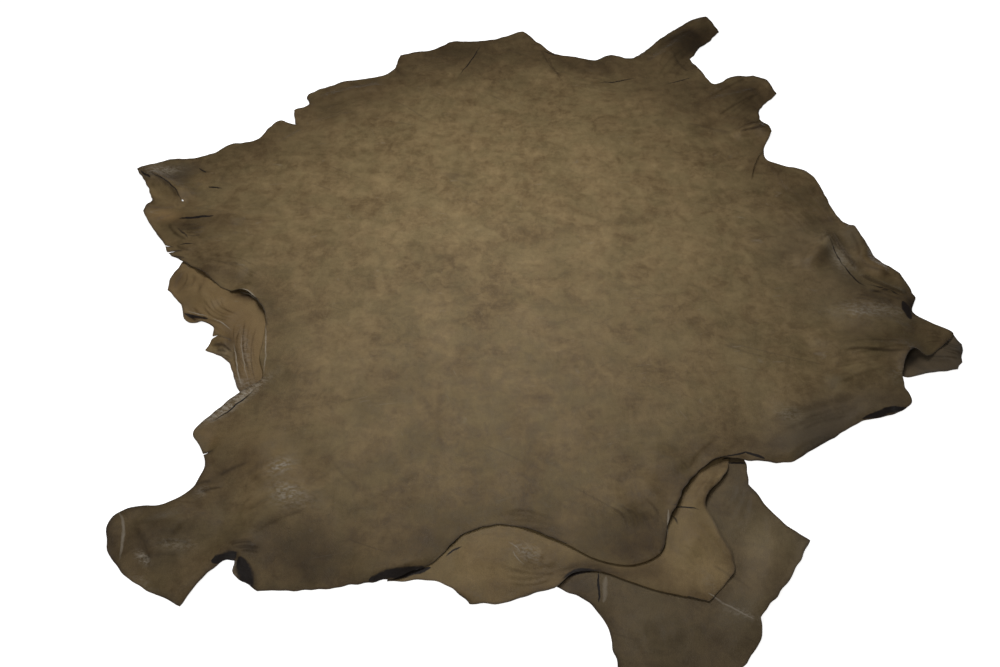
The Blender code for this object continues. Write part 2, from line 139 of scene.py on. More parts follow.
nearRight = rowsOf(Turn, (
    ("foot corner", 0.995, -0.65),
    ("foot run", 0.93, -0.694),
    ("foot run middle", 0.85, -0.713),
    ("foot run low", 0.79, -0.747),
    ("foot run end", 0.7, -0.802),
    ("foot low", 0.645, -0.829),
    ("over third layer", 0.558, -0.827),
    ("front right", 0.486, -0.823),
    ("front bend", 0.414, -0.874),
    ("front drop", 0.371, -0.935),
    ("front low", 0.345, -0.989),
    ("front pleat start", 0.318, -1.058),
    ("front pleat", 0.254, -1.088),
    ("front pleat middle", 0.179, -1.075),
    ("front pleat end", 0.117, -1.04),
    ("front", 0.036, -1.003),
    ("front rise", -0.042, -0.991),
    ("front left", -0.107, -1.016),
    ("front end", -0.172, -1.08),
))
nearLeft = rowsOf(Turn, (
    ("near run", -0.237, -1.112),
    ("near middle", -0.312, -1.13),
    ("near low", -0.443, -1.142),
    ("near corner", -0.535, -1.146),
    ("near notch side", -0.592, -1.105),
    ("near notch", -0.596, -1.076),
    ("near notch end", -0.612, -1.071),
    ("left shank heel", -0.642, -1.102),
    ("left shank point", -0.688, -1.176),
    ("left shank run", -0.767, -1.143),
    ("left shank side", -0.829, -1.102),
    ("left shank end", -0.869, -1.063),
    ("left shank tip", -0.881, -0.998),
    ("left shank top", -0.859, -0.963),
    ("left shank neck", -0.78, -0.938),
    ("left shank root", -0.735, -0.903),
))
leftBay = rowsOf(Turn, (
    ("left hip", -0.714, -0.845),
    ("left hip notch", -0.733, -0.797),
    ("left point", -0.758, -0.759),
    ("left point side", -0.734, -0.694),
    ("bay foot", -0.672, -0.618),
    ("bay pleat start", -0.632, -0.575),
    ("bay pleat low", -0.651, -0.505),
    ("bay pleat high", -0.653, -0.45),
    ("bay pleat end", -0.657, -0.392),
    ("bay curl", -0.682, -0.322),
    ("bay corner", -0.738, -0.272),
    ("bay pocket", -0.778, -0.268),
    ("bay top", -0.849, -0.211),
    ("bay end", -0.93, -0.155),
    ("ragged foot", -0.985, -0.12),
    ("ragged", -1.024, -0.061),
    ("ragged side", -1.07, -0.003),
    ("neck point", -1.11, 0.057),
    ("neck notch", -1.098, 0.111),
    ("neck side", -1.145, 0.203),
))
topEdge = neckCorner + farBelly + farShank + rump + nearRight + nearLeft + leftBay

# The free edges of the panels under the top one, from one end of their pleat to the other.
secondEdge = rowsOf(Turn, (
    ("inner right", 0.345, -0.9),
    ("inner corner", 0.43, -0.82),
    ("inner end", 0.487, -0.79),
    ("right end", 0.507, -0.82),
    ("right curve", 0.482, -0.876),
    ("right neck", 0.431, -0.936),
    ("right turn", 0.442, -0.981),
    ("right side", 0.468, -1.06),
    ("right corner", 0.468, -1.1),
    ("right point", 0.404, -1.168),
    ("under pleat start", 0.361, -1.157),
    ("under pleat", 0.301, -1.143),
    ("under pleat middle", 0.24, -1.121),
    ("under pleat end", 0.184, -1.101),
    ("gap", 0.13, -1.106),
    ("lobe side", 0.086, -1.141),
    ("lobe low", -0.008, -1.166),
    ("lobe corner", -0.091, -1.18),
    ("lobe left", -0.146, -1.127),
    ("left end", -0.266, -1.122),
    ("inner under", -0.257, -1.103),
    ("inner left", -0.12, -1.01),
    ("inner run", 0.02, -0.955),
))
thirdEdge = rowsOf(Turn, (
    ("inner right", 0.4, -1.0),
    ("inner corner", 0.43, -0.85),
    ("inner end", 0.515, -0.785),
    ("right end", 0.545, -0.82),
    ("right side", 0.54, -0.893),
    ("right run", 0.59, -0.978),
    ("right point", 0.643, -1.034),
    ("right low", 0.588, -1.112),
    ("right hollow", 0.501, -1.206),
    ("right nub", 0.496, -1.238),
    ("near right", 0.438, -1.311),
    ("near", 0.33, -1.37),
    ("near left", 0.222, -1.352),
    ("left side", 0.197, -1.275),
    ("left run", 0.189, -1.219),
    ("left shoulder", 0.148, -1.168),
    ("left top", 0.09, -1.134),
    ("inner left", 0.12, -1.075),
))
bayEdge = rowsOf(Turn, (
    ("inner low", -0.6, -0.61),
    ("low end", -0.671, -0.628),
    ("low side", -0.705, -0.57),
    ("crumple foot", -0.735, -0.519),
    ("crumple low", -0.8, -0.482),
    ("crumple notch", -0.786, -0.448),
    ("crumple", -0.786, -0.42),
    ("crumple top", -0.873, -0.379),
    ("tip low", -0.91, -0.312),
    ("tip", -0.957, -0.262),
    ("tip side", -0.956, -0.199),
    ("top end", -0.93, -0.12),
    ("inner top", -0.8, -0.17),
    ("inner run", -0.68, -0.25),
))
shankEdge = rowsOf(Turn, (
    ("inner start", 1.045, -0.35),
    ("inner", 1.0, -0.43),
    ("inner foot", 0.975, -0.52),
    ("foot", 1.005, -0.567),
    ("near side", 1.085, -0.557),
    ("tip foot", 1.147, -0.547),
    ("tip", 1.168, -0.522),
    ("tip top", 1.188, -0.462),
))

# Turns where the cut edge has a corner
sharpTurns = (
    "corner tip", "neck point", "neck notch", "notch", "nub", "belly corner", "crown", "shank end",
    "shank toe", "shank underside", "heel", "lobe corner", "lobe side", "folded bit", "mouth foot",
    "bay foot", "left shank point", "near corner", "near notch", "right point", "right hollow",
    "right side", "left top", "left end", "crumple low", "crumple notch", "tip foot", "tip",
    "tip top", "ragged",
)

Pleat = namedtuple("Pleat", "place upper start end backX backY lower turns")
pleats = (
    Pleat("front", "top", "front pleat start", "front pleat end", -0.016, 0.062, "second", secondEdge),
    Pleat("under", "second", "under pleat start", "under pleat end", -0.016, 0.050, "third", thirdEdge),
    Pleat("bay", "top", "bay pleat start", "bay pleat end", 0.056, 0.004, "bay", bayEdge),
    Pleat("shank", "top", "rolled shank start", "rolled shank end", 0.0, 0.0, "shank", shankEdge),
)
layersUnder = {
    "top": ("second", "front", "third", "under", "bay", "bay strip", "shank"),
    "second": ("third", "under"),
}

# Nicks, slits and small holes in the cut edge

Slit = namedtuple("Slit", "place panel x y endX endY width")
slits = (
    Slit("ragged tear one", "top", -1.016, -0.080, -0.988, -0.084, 0.006),
    Slit("ragged tear two", "top", -0.992, -0.105, -0.958, -0.100, 0.008),
    Slit("ragged tear three", "top", -0.975, -0.128, -0.945, -0.132, 0.005),
    Slit("crumple nick", "bay", -0.786, -0.450, -0.765, -0.444, 0.006),
    Slit("hip nick", "top", -0.722, -0.805, -0.706, -0.802, 0.004),
)

Hole = namedtuple("Hole", "place x y radius")
holes = (
    Hole("corner hole", -1.014, 0.130, 0.0028),
)

# Soft ridges of each panel, along bowed lines. The first rows are the main folds.

Ridge = namedtuple("Ridge", "place x1 y1 x2 y2 bow width height")
topRidges = rowsOf(Ridge, (
    ("corner fold", -1.175, 0.262, -0.99, 0.125, 0.01, 0.03, 0.019),
    ("neck slit", -1.03, 0.084, -0.8, 0.03, 0.005, 0.026, 0.014),
    ("bay roll", -0.76, -0.235, -0.64, -0.42, -0.03, 0.04, 0.019),
    ("bay shoulder", -0.9, -0.16, -0.74, -0.19, 0.01, 0.035, 0.011),
    ("tail fold", 0.958, -0.02, 0.84, -0.175, 0.008, 0.026, 0.024),
    ("tail side", 1.01, 0.0, 1.02, -0.15, 0.012, 0.026, 0.022),
    ("flare fold", 0.99, -0.13, 1.075, -0.205, 0.006, 0.024, 0.016),
    ("shank upper", 0.86, -0.34, 1.08, -0.43, 0.008, 0.032, 0.014),
    ("shank middle", 0.78, -0.45, 1.05, -0.475, -0.008, 0.032, 0.016),
    ("shank lower", 0.79, -0.6, 0.99, -0.545, 0.006, 0.032, 0.014),
    ("far shank", 0.52, 0.89, 0.77, 1.2, 0.01, 0.034, 0.016),
    ("far dip", 0.1, 1.12, 0.33, 0.955, -0.012, 0.03, 0.012),
    ("far lobe", 0.69, 0.65, 0.91, 0.74, 0.012, 0.034, 0.014),
    ("folded bit", 0.76, 0.47, 0.872, 0.52, 0.006, 0.026, 0.016),
    ("left shank", -0.64, -0.975, -0.85, -1.03, -0.01, 0.036, 0.016),
    ("near notch", -0.6, -1.02, -0.42, -0.92, 0.015, 0.045, 0.012),
    ("front fan left", 0.3, -1.01, 0.2, -0.88, 0.01, 0.028, 0.008),
    ("front fan", 0.345, -0.955, 0.285, -0.85, 0.006, 0.024, 0.008),
    ("front fan right", 0.41, -0.85, 0.32, -0.78, 0.006, 0.026, 0.008),
    ("far flap", -0.68, 0.69, -0.43, 0.8, 0.006, 0.026, 0.011),
    ("left hip", -0.72, -0.78, -0.56, -0.8, 0.01, 0.04, 0.011),
))
secondRidges = rowsOf(Ridge, (
    ("lobe fold", -0.13, -1.085, 0.06, -1.09, 0.012, 0.026, 0.008),
    ("right fold", 0.44, -1.0, 0.33, -1.125, -0.014, 0.026, 0.009),
))
thirdRidges = rowsOf(Ridge, (
    ("long fold", 0.58, -1.01, 0.42, -1.29, 0.016, 0.038, 0.012),
    ("left fold", 0.23, -1.21, 0.29, -1.33, 0.01, 0.03, 0.008),
))
bayRidges = rowsOf(Ridge, (
    ("tip fold", -0.93, -0.25, -0.8, -0.33, 0.01, 0.024, 0.014),
    ("crumple", -0.86, -0.375, -0.73, -0.49, 0.008, 0.018, 0.015),
))

# Creases and lips, each along a bowed line: the sheet rises by its height on the left side of the
# line, over its width, and sinks back further out. Dark is the painted shade that darkens the line
# itself, and less than 0 is a pale rub. A row without height is only a mark.

Crease = namedtuple("Crease", "place panel x1 y1 x2 y2 bow width height dark")
creases = rowsOf(Crease, (
    ("tail overlap low", "top", 0.992, -0.191, 1.1, -0.279, -0.008, 0.004, 0.01, 0.48),
    ("hip line", "top", -0.382, -0.982, -0.202, -0.852, 0.008, 0.012, 0.002, 0.1),
    ("hip line low", "top", -0.477, -0.944, -0.352, -0.852, 0.008, 0.01, 0.002, 0.1),
    ("root line", "top", -0.682, -0.868, -0.612, -0.83, 0.004, 0.006, 0.003, 0.3),
    ("root line low", "top", -0.714, -0.911, -0.663, -0.895, 0.003, 0.004, 0.003, 0.4),
    ("far belly line", "top", -0.4, 0.892, -0.217, 0.963, 0.004, 0.006, 0.003, 0.2),
    ("flap line", "top", -0.683, 0.555, -0.546, 0.616, 0.006, 0.006, 0.003, 0.2),
    ("rise line", "top", -0.779, 0.438, -0.698, 0.519, 0.004, 0.006, 0.003, 0.22),
    ("crown line", "top", 0.154, 0.993, 0.212, 0.796, -0.008, 0.005, 0.004, 0.35),
    ("dip line", "top", 0.212, 0.796, 0.377, 0.77, 0.006, 0.006, 0.003, 0.2),
    ("lobe root line", "top", 0.714, 0.704, 0.883, 0.837, 0.006, 0.007, 0.004, 0.24),
    ("lobe middle line", "top", 0.723, 0.591, 0.912, 0.73, 0.008, 0.006, 0.004, 0.22),
    ("rump line", "top", 0.836, 0.338, 0.878, 0.151, 0.006, 0.008, 0.003, 0.18),
    ("right side line", "top", 0.943, 0.212, 0.983, 0.009, -0.006, 0.008, 0.004, 0.2),
    ("tail overlap", "top", 0.941, -0.0, 0.992, -0.191, 0.006, 0.005, 0.011, 0.6),
    ("tail bump", "top", 0.906, -0.081, 0.947, -0.045, 0.006, 0.008, 0.007, 0.3),
    ("facet edge", "top", 1.006, -0.037, 1.004, -0.149, 0.008, 0.006, 0.004, 0.3),
    ("facet foot", "top", 1.004, -0.149, 1.097, -0.207, -0.012, 0.006, 0.004, 0.25),
    ("left shank fold", "top", -0.832, -1.001, -0.776, -1.091, 0.01, 0.01, 0.003, 0.3),
    ("corner overlap", "top", -1.161, 0.258, -1.018, 0.127, 0.01, 0.007, 0.008, 0.3),
    ("patch side", "top", -1.004, 0.146, -0.986, 0.279, -0.012, 0.008, 0.004, 0.2),
    ("hollow", "top", -1.032, 0.027, -0.952, -0.05, -0.01, 0.007, 0.004, 0.35),
    ("ragged patch", "top", -0.982, -0.072, -0.931, -0.098, -0.006, 0.006, 0.004, 0.35),
    ("neck point fold", "top", -1.116, 0.079, -1.026, 0.107, -0.006, 0.006, 0.003, 0.25),
    ("neck point low", "top", -1.072, 0.032, -1.017, 0.074, 0.004, 0.006, 0.003, 0.25),
    ("above the bay", "top", -0.914, -0.12, -0.76, -0.17, -0.012, 0.01, 0.004, 0.12),
    ("above the bay far", "top", -0.915, -0.054, -0.805, -0.019, 0.008, 0.01, 0.003, 0.08),
    ("neck long", "top", -0.9, 0.12, -0.74, 0.14, 0.01, 0.01, 0.002, 0.08),
    ("neck long low", "top", -0.86, 0.03, -0.7, 0.01, 0.008, 0.01, 0.002, 0.08),
    ("flare wrinkle", "top", 0.996, -0.271, 1.084, -0.275, 0.004, 0.005, 0.003, 0.3),
    ("shank crease", "top", 0.867, -0.488, 1.024, -0.502, 0.004, 0.005, 0.003, 0.45),
    ("flap wrinkle", "shank", 1.134, -0.471, 1.173, -0.498, 0.003, 0.004, 0.002, 0.35),
    ("flap line", "shank", 1.09, -0.5, 1.165, -0.512, 0.004, 0.004, 0.002, 0.25),
    ("rump crease", "top", 0.83, -0.174, 0.93, -0.04, 0.01, 0.01, 0.003, 0.1),
    ("crown fold", "top", 0.2, 0.837, 0.13, 1.051, 0.012, 0.01, 0.005, 0.2),
    ("dip fold", "top", 0.169, 0.978, 0.353, 0.843, -0.02, 0.012, 0.004, 0.18),
    ("rump step", "top", 0.775, 0.232, 0.85, 0.4, 0.008, 0.005, 0.005, 0.12),
    ("folded bit low", "top", 0.779, 0.484, 0.87, 0.501, 0.004, 0.005, 0.005, 0.55),
    ("folded bit far", "top", 0.801, 0.531, 0.875, 0.563, -0.004, 0.005, 0.004, 0.45),
    ("shank line", "top", 0.568, 1.04, 0.745, 1.19, 0.01, 0.01, 0.005, 0.2),
    ("shank root far", "top", 0.676, 0.878, 0.63, 1.02, 0.01, 0.009, 0.003, 0.12),
    ("left shank line", "top", -0.753, -1.042, -0.672, -0.962, 0.01, 0.008, 0.003, 0.15),
    ("left root line", "top", -0.726, -0.893, -0.69, -0.88, 0.002, 0.005, 0.002, 0.35),
    ("near fan right", "top", 0.41, -0.85, 0.49, -0.768, 0.01, 0.009, 0.003, 0.12),
    ("long crease", "third", 0.56, -0.96, 0.52, -1.12, 0.012, 0.01, 0.003, 0.1),
    ("left crease", "third", 0.215, -1.2, 0.26, -1.31, 0.008, 0.01, 0.003, 0.1),
    ("curve wrinkle three", "bay", -0.87, -0.35, -0.76, -0.445, -0.012, 0.005, 0.004, 0.35),
    ("tip fold", "bay", -0.935, -0.26, -0.925, -0.18, 0.01, 0.008, 0.004, 0.25),
    ("tip fold right", "bay", -0.911, -0.191, -0.856, -0.302, 0.012, 0.01, 0.005, 0.15),
    ("crumple one", "bay", -0.79, -0.467, -0.727, -0.491, 0.008, 0.004, 0.004, 0.45),
    ("crumple two", "bay", -0.77, -0.45, -0.735, -0.455, 0.004, 0.004, 0.004, 0.45),
))

# Sets of fine wrinkles, spread unevenly from a first line to a last one, each darkened with painted shade
# along it, or paled as a rub where its dark is below 0

Fan = namedtuple("Fan", "place panel x1 y1 x2 y2 x3 y3 x4 y4 bow count width height dark")
fans = rowsOf(Fan, (
    ("bay strip", "bay", -0.754, -0.392, -0.674, -0.598, -0.685, -0.355, -0.643, -0.585, -0.012,
     10, 0.003, 0.0018, 0.34),
    ("bay lobe", "bay", -0.882, -0.329, -0.738, -0.414, -0.83, -0.247, -0.699, -0.37, -0.016, 6,
     0.004, 0.002, 0.24),
    ("lobe tip", "bay", -0.933, -0.149, -0.919, -0.271, -0.87, -0.174, -0.85, -0.279, 0.006, 3,
     0.006, 0.003, 0.18),
    ("crumple", "bay", -0.782, -0.478, -0.727, -0.491, -0.767, -0.519, -0.7, -0.546, 0.004, 4,
     0.004, 0.0025, 0.35),
    ("front bend", "top", 0.193, -0.931, 0.274, -1.045, 0.324, -0.926, 0.328, -1.03, 0.014, 8,
     0.006, 0.0022, 0.26),
    ("front bend side", "top", 0.339, -0.952, 0.33, -1.021, 0.368, -0.931, 0.35, -1.001, 0.0, 3,
     0.004, 0.0018, 0.26),
    ("front", "top", -0.096, -0.931, 0.17, -1.001, -0.028, -0.987, 0.188, -1.045, 0.01, 5, 0.007,
     0.002, 0.12),
    ("neck", "top", -0.937, 0.112, -0.681, 0.132, -0.898, -0.054, -0.645, -0.115, 0.006, 6, 0.008,
     0.0026, 0.13),
    ("corner", "top", -1.112, 0.232, -0.918, 0.305, -0.997, 0.151, -0.874, 0.191, 0.004, 3, 0.006,
     0.0026, 0.2),
    ("neck hollow", "top", -1.02, 0.027, -0.919, 0.036, -0.977, -0.045, -0.908, -0.037, -0.006, 4,
     0.005, 0.003, 0.35),
    ("over the bay", "top", -0.919, -0.089, -0.714, -0.149, -0.875, -0.149, -0.697, -0.239, 0.008,
     4, 0.007, 0.0026, 0.2),
    ("right shank", "top", 0.849, -0.428, 1.11, -0.443, 0.714, -0.655, 1.004, -0.539, 0.006, 7,
     0.008, 0.0026, 0.15),
    ("shank tip", "top", 1.106, -0.414, 1.168, -0.428, 1.079, -0.471, 1.142, -0.457, 0.003, 3,
     0.004, 0.0016, 0.2),
    ("left hip", "top", -0.665, -0.884, -0.501, -0.791, -0.569, -1.045, -0.377, -0.931, 0.01, 8,
     0.01, 0.0028, 0.15),
    ("left shank", "top", -0.851, -0.982, -0.672, -1.011, -0.786, -1.114, -0.669, -1.077, 0.008, 5,
     0.008, 0.0024, 0.14),
    ("notch crumple", "top", -0.628, -1.049, -0.545, -1.03, -0.594, -1.068, -0.53, -1.068, 0.003,
     5, 0.004, 0.0026, 0.4),
    ("far shank root", "top", 0.488, 0.851, 0.693, 1.143, 0.624, 0.823, 0.757, 1.052, 0.01, 4,
     0.008, 0.002, 0.12),
    ("far lobe", "top", 0.709, 0.591, 0.944, 0.81, 0.766, 0.449, 0.888, 0.616, 0.008, 5, 0.007,
     0.0022, 0.14),
    ("far dip", "top", 0.181, 0.921, 0.413, 0.837, 0.212, 0.796, 0.473, 0.717, -0.01, 4, 0.008,
     0.003, 0.14),
    ("far belly", "top", -0.387, 0.921, -0.173, 1.022, -0.363, 0.796, -0.139, 0.851, 0.008, 4,
     0.009, 0.0028, 0.12),
    ("far flap", "top", -0.708, 0.579, -0.429, 0.796, -0.639, 0.484, -0.396, 0.666, 0.006, 4,
     0.008, 0.0026, 0.13),
    ("rump", "top", 0.835, 0.274, 0.986, -0.0, 0.792, 0.132, 0.907, -0.098, 0.01, 5, 0.009, 0.0026, 0.14),
    ("tail", "top", 0.981, -0.247, 1.097, -0.302, 0.926, -0.302, 1.077, -0.348, 0.004, 5, 0.006,
     0.003, 0.28),
    ("near right", "top", 0.612, -0.785, 0.907, -0.673, 0.604, -0.71, 0.954, -0.601, 0.01, 5,
     0.009, 0.0024, 0.12),
    ("bridge", "second", 0.073, -1.118, 0.268, -1.105, 0.099, -1.091, 0.292, -1.082, 0.008, 5,
     0.006, 0.0022, 0.22),
    ("lobe", "second", -0.028, -1.021, 0.1, -1.077, -0.028, -1.132, 0.102, -1.123, -0.008, 7,
     0.006, 0.002, 0.16),
    ("lobe scratches", "second", 0.002, -1.026, 0.048, -1.091, 0.037, -1.03, 0.07, -1.073, 0.004,
     5, 0.003, 0.0, -0.22),
    ("right part", "second", 0.292, -1.077, 0.411, -1.158, 0.418, -0.962, 0.46, -1.096, 0.008, 5,
     0.006, 0.0018, 0.12),
    ("upper strip", "second", 0.4, -0.931, 0.474, -0.841, 0.429, -0.947, 0.516, -0.841, 0.004, 4,
     0.006, 0.002, 0.18),
    ("third top", "third", 0.535, -0.841, 0.455, -0.952, 0.554, -0.905, 0.48, -1.077, 0.008, 4,
     0.008, 0.0022, 0.12),
    ("third near", "third", 0.222, -1.179, 0.247, -1.29, 0.423, -1.184, 0.445, -1.28, 0.012, 6,
     0.009, 0.0022, 0.09),
    ("rolled tip", "shank", 1.116, -0.471, 1.161, -0.505, 1.147, -0.443, 1.184, -0.471, 0.002, 4,
     0.004, 0.0018, 0.35),
    ("rolled shank", "shank", 1.026, -0.519, 1.153, -0.525, 1.067, -0.491, 1.166, -0.505, 0.002, 4,
     0.005, 0.0016, 0.18),
))


def spreadFans():
    made = []
    for number, fan in enumerate(fans):
        random = np.random.default_rng(hideSizes["seed"] * 100 + number)
        shares = (np.arange(fan.count) + random.uniform(0.2, 0.8, fan.count)) / fan.count
        for share in shares:
            start = np.array((fan.x1, fan.y1)) * (1.0 - share) + np.array((fan.x3, fan.y3)) * share
            end = np.array((fan.x2, fan.y2)) * (1.0 - share) + np.array((fan.x4, fan.y4)) * share
            run = end - start
            first = start + run * random.uniform(0.0, 0.35)
            last = end - run * random.uniform(0.0, 0.35)
            size = random.uniform(0.6, 1.3)
            bow = fan.bow * random.uniform(0.7, 1.3)
            look = (bow, fan.width * size, fan.height * size, fan.dark * random.uniform(0.5, 1.3))
            made.append(Crease(fan.place, fan.panel, *first, *last, *look))
    return tuple(made)


creases += spreadFans()

panelRidges = {
    "top": topRidges,
    "second": secondRidges,
    "third": thirdRidges,
    "bay": bayRidges,
    "shank": (),
}

# Where the free edge stands up. A roll of 1 turns the lifted edge down again to the floor.

Lift = namedtuple("Lift", "place x y radius height roll")
lifts = rowsOf(Lift, (
    ("corner tip", -1.19, 0.29, 0.06, 0.022, 0.0),
    ("neck point", -1.11, 0.06, 0.05, 0.019, 0.0),
    ("nub", -0.745, 0.62, 0.05, 0.016, 0.0),
    ("crown", 0.06, 1.15, 0.07, 0.014, 0.0),
    ("far shank", 0.8, 1.23, 0.07, 0.027, 0.0),
    ("far lobe", 0.94, 0.8, 0.06, 0.016, 0.0),
    ("folded bit", 0.885, 0.51, 0.045, 0.022, 0.0),
    ("tail", 1.03, -0.01, 0.05, 0.019, 0.0),
    ("shank mouth", 1.035, -0.505, 0.04, 0.022, 0.0),
    ("foot", 0.9, -0.69, 0.08, 0.019, 1.0),
    ("near right", 0.7, -0.79, 0.075, 0.019, 1.0),
    ("near middle", -0.26, -1.11, 0.08, 0.018, 1.0),
    ("near notch", -0.6, -1.065, 0.05, 0.024, 1.0),
    ("left shank point", -0.69, -1.165, 0.05, 0.014, 1.0),
    ("left shank tip", -0.895, -1.0, 0.06, 0.016, 0.0),
    ("left point", -0.75, -0.76, 0.045, 0.016, 0.0),
))

reliefSizes = {
    "swell": 0.0040,          # low broad swells where the sheet doesn't touch the floor
    "swellWave": 0.30,
    "ruffle": 0.0075,         # swells along the free edges
    "ruffleReach": 0.11,
    "ruffleWave": 0.13,
    "curl": 0.0060,           # the last of the edge, turned up
    "curlReach": 0.020,
    "curlWave": 0.22,
    "rollReach": 0.016,
    "pucker": 0.0011,         # small puckers all over
    "puckerWave": 0.045,
    "flatX": -0.25,           # the middle stays flat on the floor here
    "flatY": -0.20,
    "flatHalf": 0.18,
}


def blend(share):
    share = np.clip(share, 0.0, 1.0)
    return share * share * (3.0 - 2.0 * share)


# Directions and phases of a smooth uneven pattern, about one wave length across.
def makeWaves(wave, count, seed):
    random = np.random.default_rng(seed)
    turn = random.uniform(0.0, 2.0 * math.pi, count)
    size = 2.0 * math.pi / (wave * random.uniform(0.65, 1.6, count))
    return np.column_stack([np.cos(turn) * size, np.sin(turn) * size]), random.uniform(0.0, 6.283, count)


# From about -1 to 1.
def waveHeight(points, name):
    directions, phases = waves[name]
    return np.sin(points @ directions.T + phases).sum(axis=1) / math.sqrt(1.6 * len(phases))


waves = {
    "swell": makeWaves(reliefSizes["swellWave"], 14, hideSizes["seed"]),
    "ruffle": makeWaves(reliefSizes["ruffleWave"], 16, hideSizes["seed"] + 1),
    "curl": makeWaves(reliefSizes["curlWave"], 12, hideSizes["seed"] + 2),
    "pucker": makeWaves(reliefSizes["puckerWave"], 24, hideSizes["seed"] + 3),
}


# A point on the centripetal curve through start and end.
def curvePoint(before, start, end, after, share):
    knots = [0.0]
    points = [before, start, end, after]
    for a, b in zip(points, points[1:]):
        knots.append(knots[-1] + max(math.dist(a, b), 1e-6) ** 0.5)
    t = knots[1] + share * (knots[2] - knots[1])

    def mix(p, q, t0, t1):
        return (p * (t1 - t) + q * (t - t0)) / (t1 - t0)

    first = mix(before, start, knots[0], knots[1])
    middle = mix(start, end, knots[1], knots[2])
    last = mix(end, after, knots[2], knots[3])
    left = mix(first, middle, knots[0], knots[2])
    right = mix(middle, last, knots[1], knots[3])
    return mix(left, right, knots[1], knots[2])


def smoothEdge(turns, closed):
    at = [np.array((turn.x, turn.y)) for turn in turns]
    count = len(at)
    points = []
    index = {}
    for i in range(count if closed else count - 1):
        after = at[(i + 2) % count] if closed or i + 2 < count else 2 * at[-1] - at[-2]
        before = at[i - 1] if closed or i > 0 else 2 * at[0] - at[1]
        if turns[i].place in sharpTurns:
            before = 2 * at[i] - at[(i + 1) % count]
        if turns[(i + 1) % count].place in sharpTurns:
            after = 2 * at[(i + 1) % count] - at[i]
        index[turns[i].place] = len(points)
        pieces = max(1, round(math.dist(at[i], at[(i + 1) % count]) / hideSizes["edgeStep"]))
        for k in range(pieces):
            points.append(curvePoint(before, at[i], at[(i + 1) % count], after, k / pieces))
    if not closed:
        index[turns[-1].place] = len(points)
        points.append(at[-1])
    return np.array(points), index


# How far each point lies from the nearest of the ring's segments, and whether it is inside.
def ringDistance(points, ring, chosen=None):
    starts, ends = ring, np.roll(ring, -1, axis=0)
    run = ends - starts
    square = np.maximum((run * run).sum(1), 1e-12)
    gap = np.empty(len(points))
    inside = np.empty(len(points), bool)
    rise = np.where(run[:, 1] == 0, 1.0, run[:, 1])
    for first in range(0, len(points), 2000):
        part = points[first : first + 2000]
        x = part[:, 0, None] - starts[:, 0]
        y = part[:, 1, None] - starts[:, 1]
        along = np.clip((x * run[:, 0] + y * run[:, 1]) / square, 0.0, 1.0)
        away = (x - along * run[:, 0]) ** 2 + (y - along * run[:, 1]) ** 2
        if chosen is not None:
            away[:, ~chosen] = 1e6
        gap[first : first + 2000] = np.sqrt(away.min(axis=1))
        level = part[:, 1, None]
        crosses = (starts[:, 1] > level) != (ends[:, 1] > level)
        meets = starts[:, 0] + (level - starts[:, 1]) * run[:, 0] / rise
        inside[first : first + 2000] = (crosses & (part[:, 0, None] < meets)).sum(axis=1) % 2 == 1
    return gap, inside


# 1 over and close to the ring, falling to 0 at the reach.
def cover(points, ring, reach):
    far = reach + hideSizes["coverMargin"]
    low, high = ring.min(axis=0) - far, ring.max(axis=0) + far
    near = np.all((points > low) & (points < high), axis=1)
    share = np.zeros(len(points))
    if near.any():
        gap, inside = ringDistance(points[near], ring)
        outside = np.where(inside, 0.0, gap)
        share[near] = blend(1.0 - (outside - hideSizes["coverMargin"]) / reach)
    return share


# Where points lie beside a bowed line: to its left side, along it and past its ends.
def besideLine(points, line):
    start = np.array((line.x1, line.y1))
    run = np.array((line.x2, line.y2)) - start
    length = np.hypot(*run)
    offset = points - start
    along = offset @ run / length**2
    side = (offset[:, 1] * run[0] - offset[:, 0] * run[1]) / length
    side = side - 4.0 * line.bow * along * (1.0 - along)
    past = np.clip(np.abs(along - 0.5) - 0.5, 0.0, None) * length
    return side, along, past


def ridgeHeight(points, ridges):
    height = np.zeros(len(points))
    for ridge in ridges:
        side, along, past = besideLine(points, ridge)
        taper = blend(1.25 - 1.25 * np.abs(2.0 * along - 1.0) ** 2)
        shape = np.exp(-((side / ridge.width) ** 2)) * np.exp(-((past / ridge.width) ** 2))
        height += ridge.height * shape * taper
    return height


def creaseShape(points, panel):
    height = np.zeros(len(points))
    dark = np.zeros(len(points))
    for crease in creases:
        if crease.panel != panel:
            continue
        side, along, past = besideLine(points, crease)
        taper = blend(1.6 - 1.6 * np.abs(2.0 * along - 1.0) ** 2) * (past == 0.0)
        lip = blend(side / crease.width + 0.5)
        sunk = np.exp(-np.clip(side / crease.width - 0.5, 0.0, None) / 5.0)
        height += crease.height * lip * sunk * taper
        # the painted shade along the crease line
        dark += crease.dark * np.exp(-((side / (0.62 * crease.width)) ** 2)) * taper
    return height, dark


# Rows of points along a crease, so that the mesh follows it, and which other points they replace
def creasePoints(panel, others):
    added = []
    free = np.ones(len(others), bool)
    for crease in creases:
        if crease.panel != panel:
            continue
        side, along, past = besideLine(others, crease)
        free &= (np.abs(side) > 1.7 * crease.width) | (past > 0.0)
        start = np.array((crease.x1, crease.y1))
        run = np.array((crease.x2, crease.y2)) - start
        length = np.hypot(*run)
        left = np.array((-run[1], run[0])) / length
        count = max(3, round(length / max(hideSizes["creaseStep"], 1.1 * crease.width)))
        shares = np.linspace(0.0, 1.0, count + 1)
        for offset in (-1.2, -0.5, 0.0, 0.5, 1.2):
            reach = 4.0 * crease.bow * shares * (1.0 - shares) + offset * crease.width
            added.append(start + run * shares[:, None] + left * reach[:, None])
    if not added:
        return others
    added = np.vstack(added)
    cell = np.unique(np.round(added / 0.0016), axis=0, return_index=True)[1]
    return np.vstack([others[free], added[np.sort(cell)]])


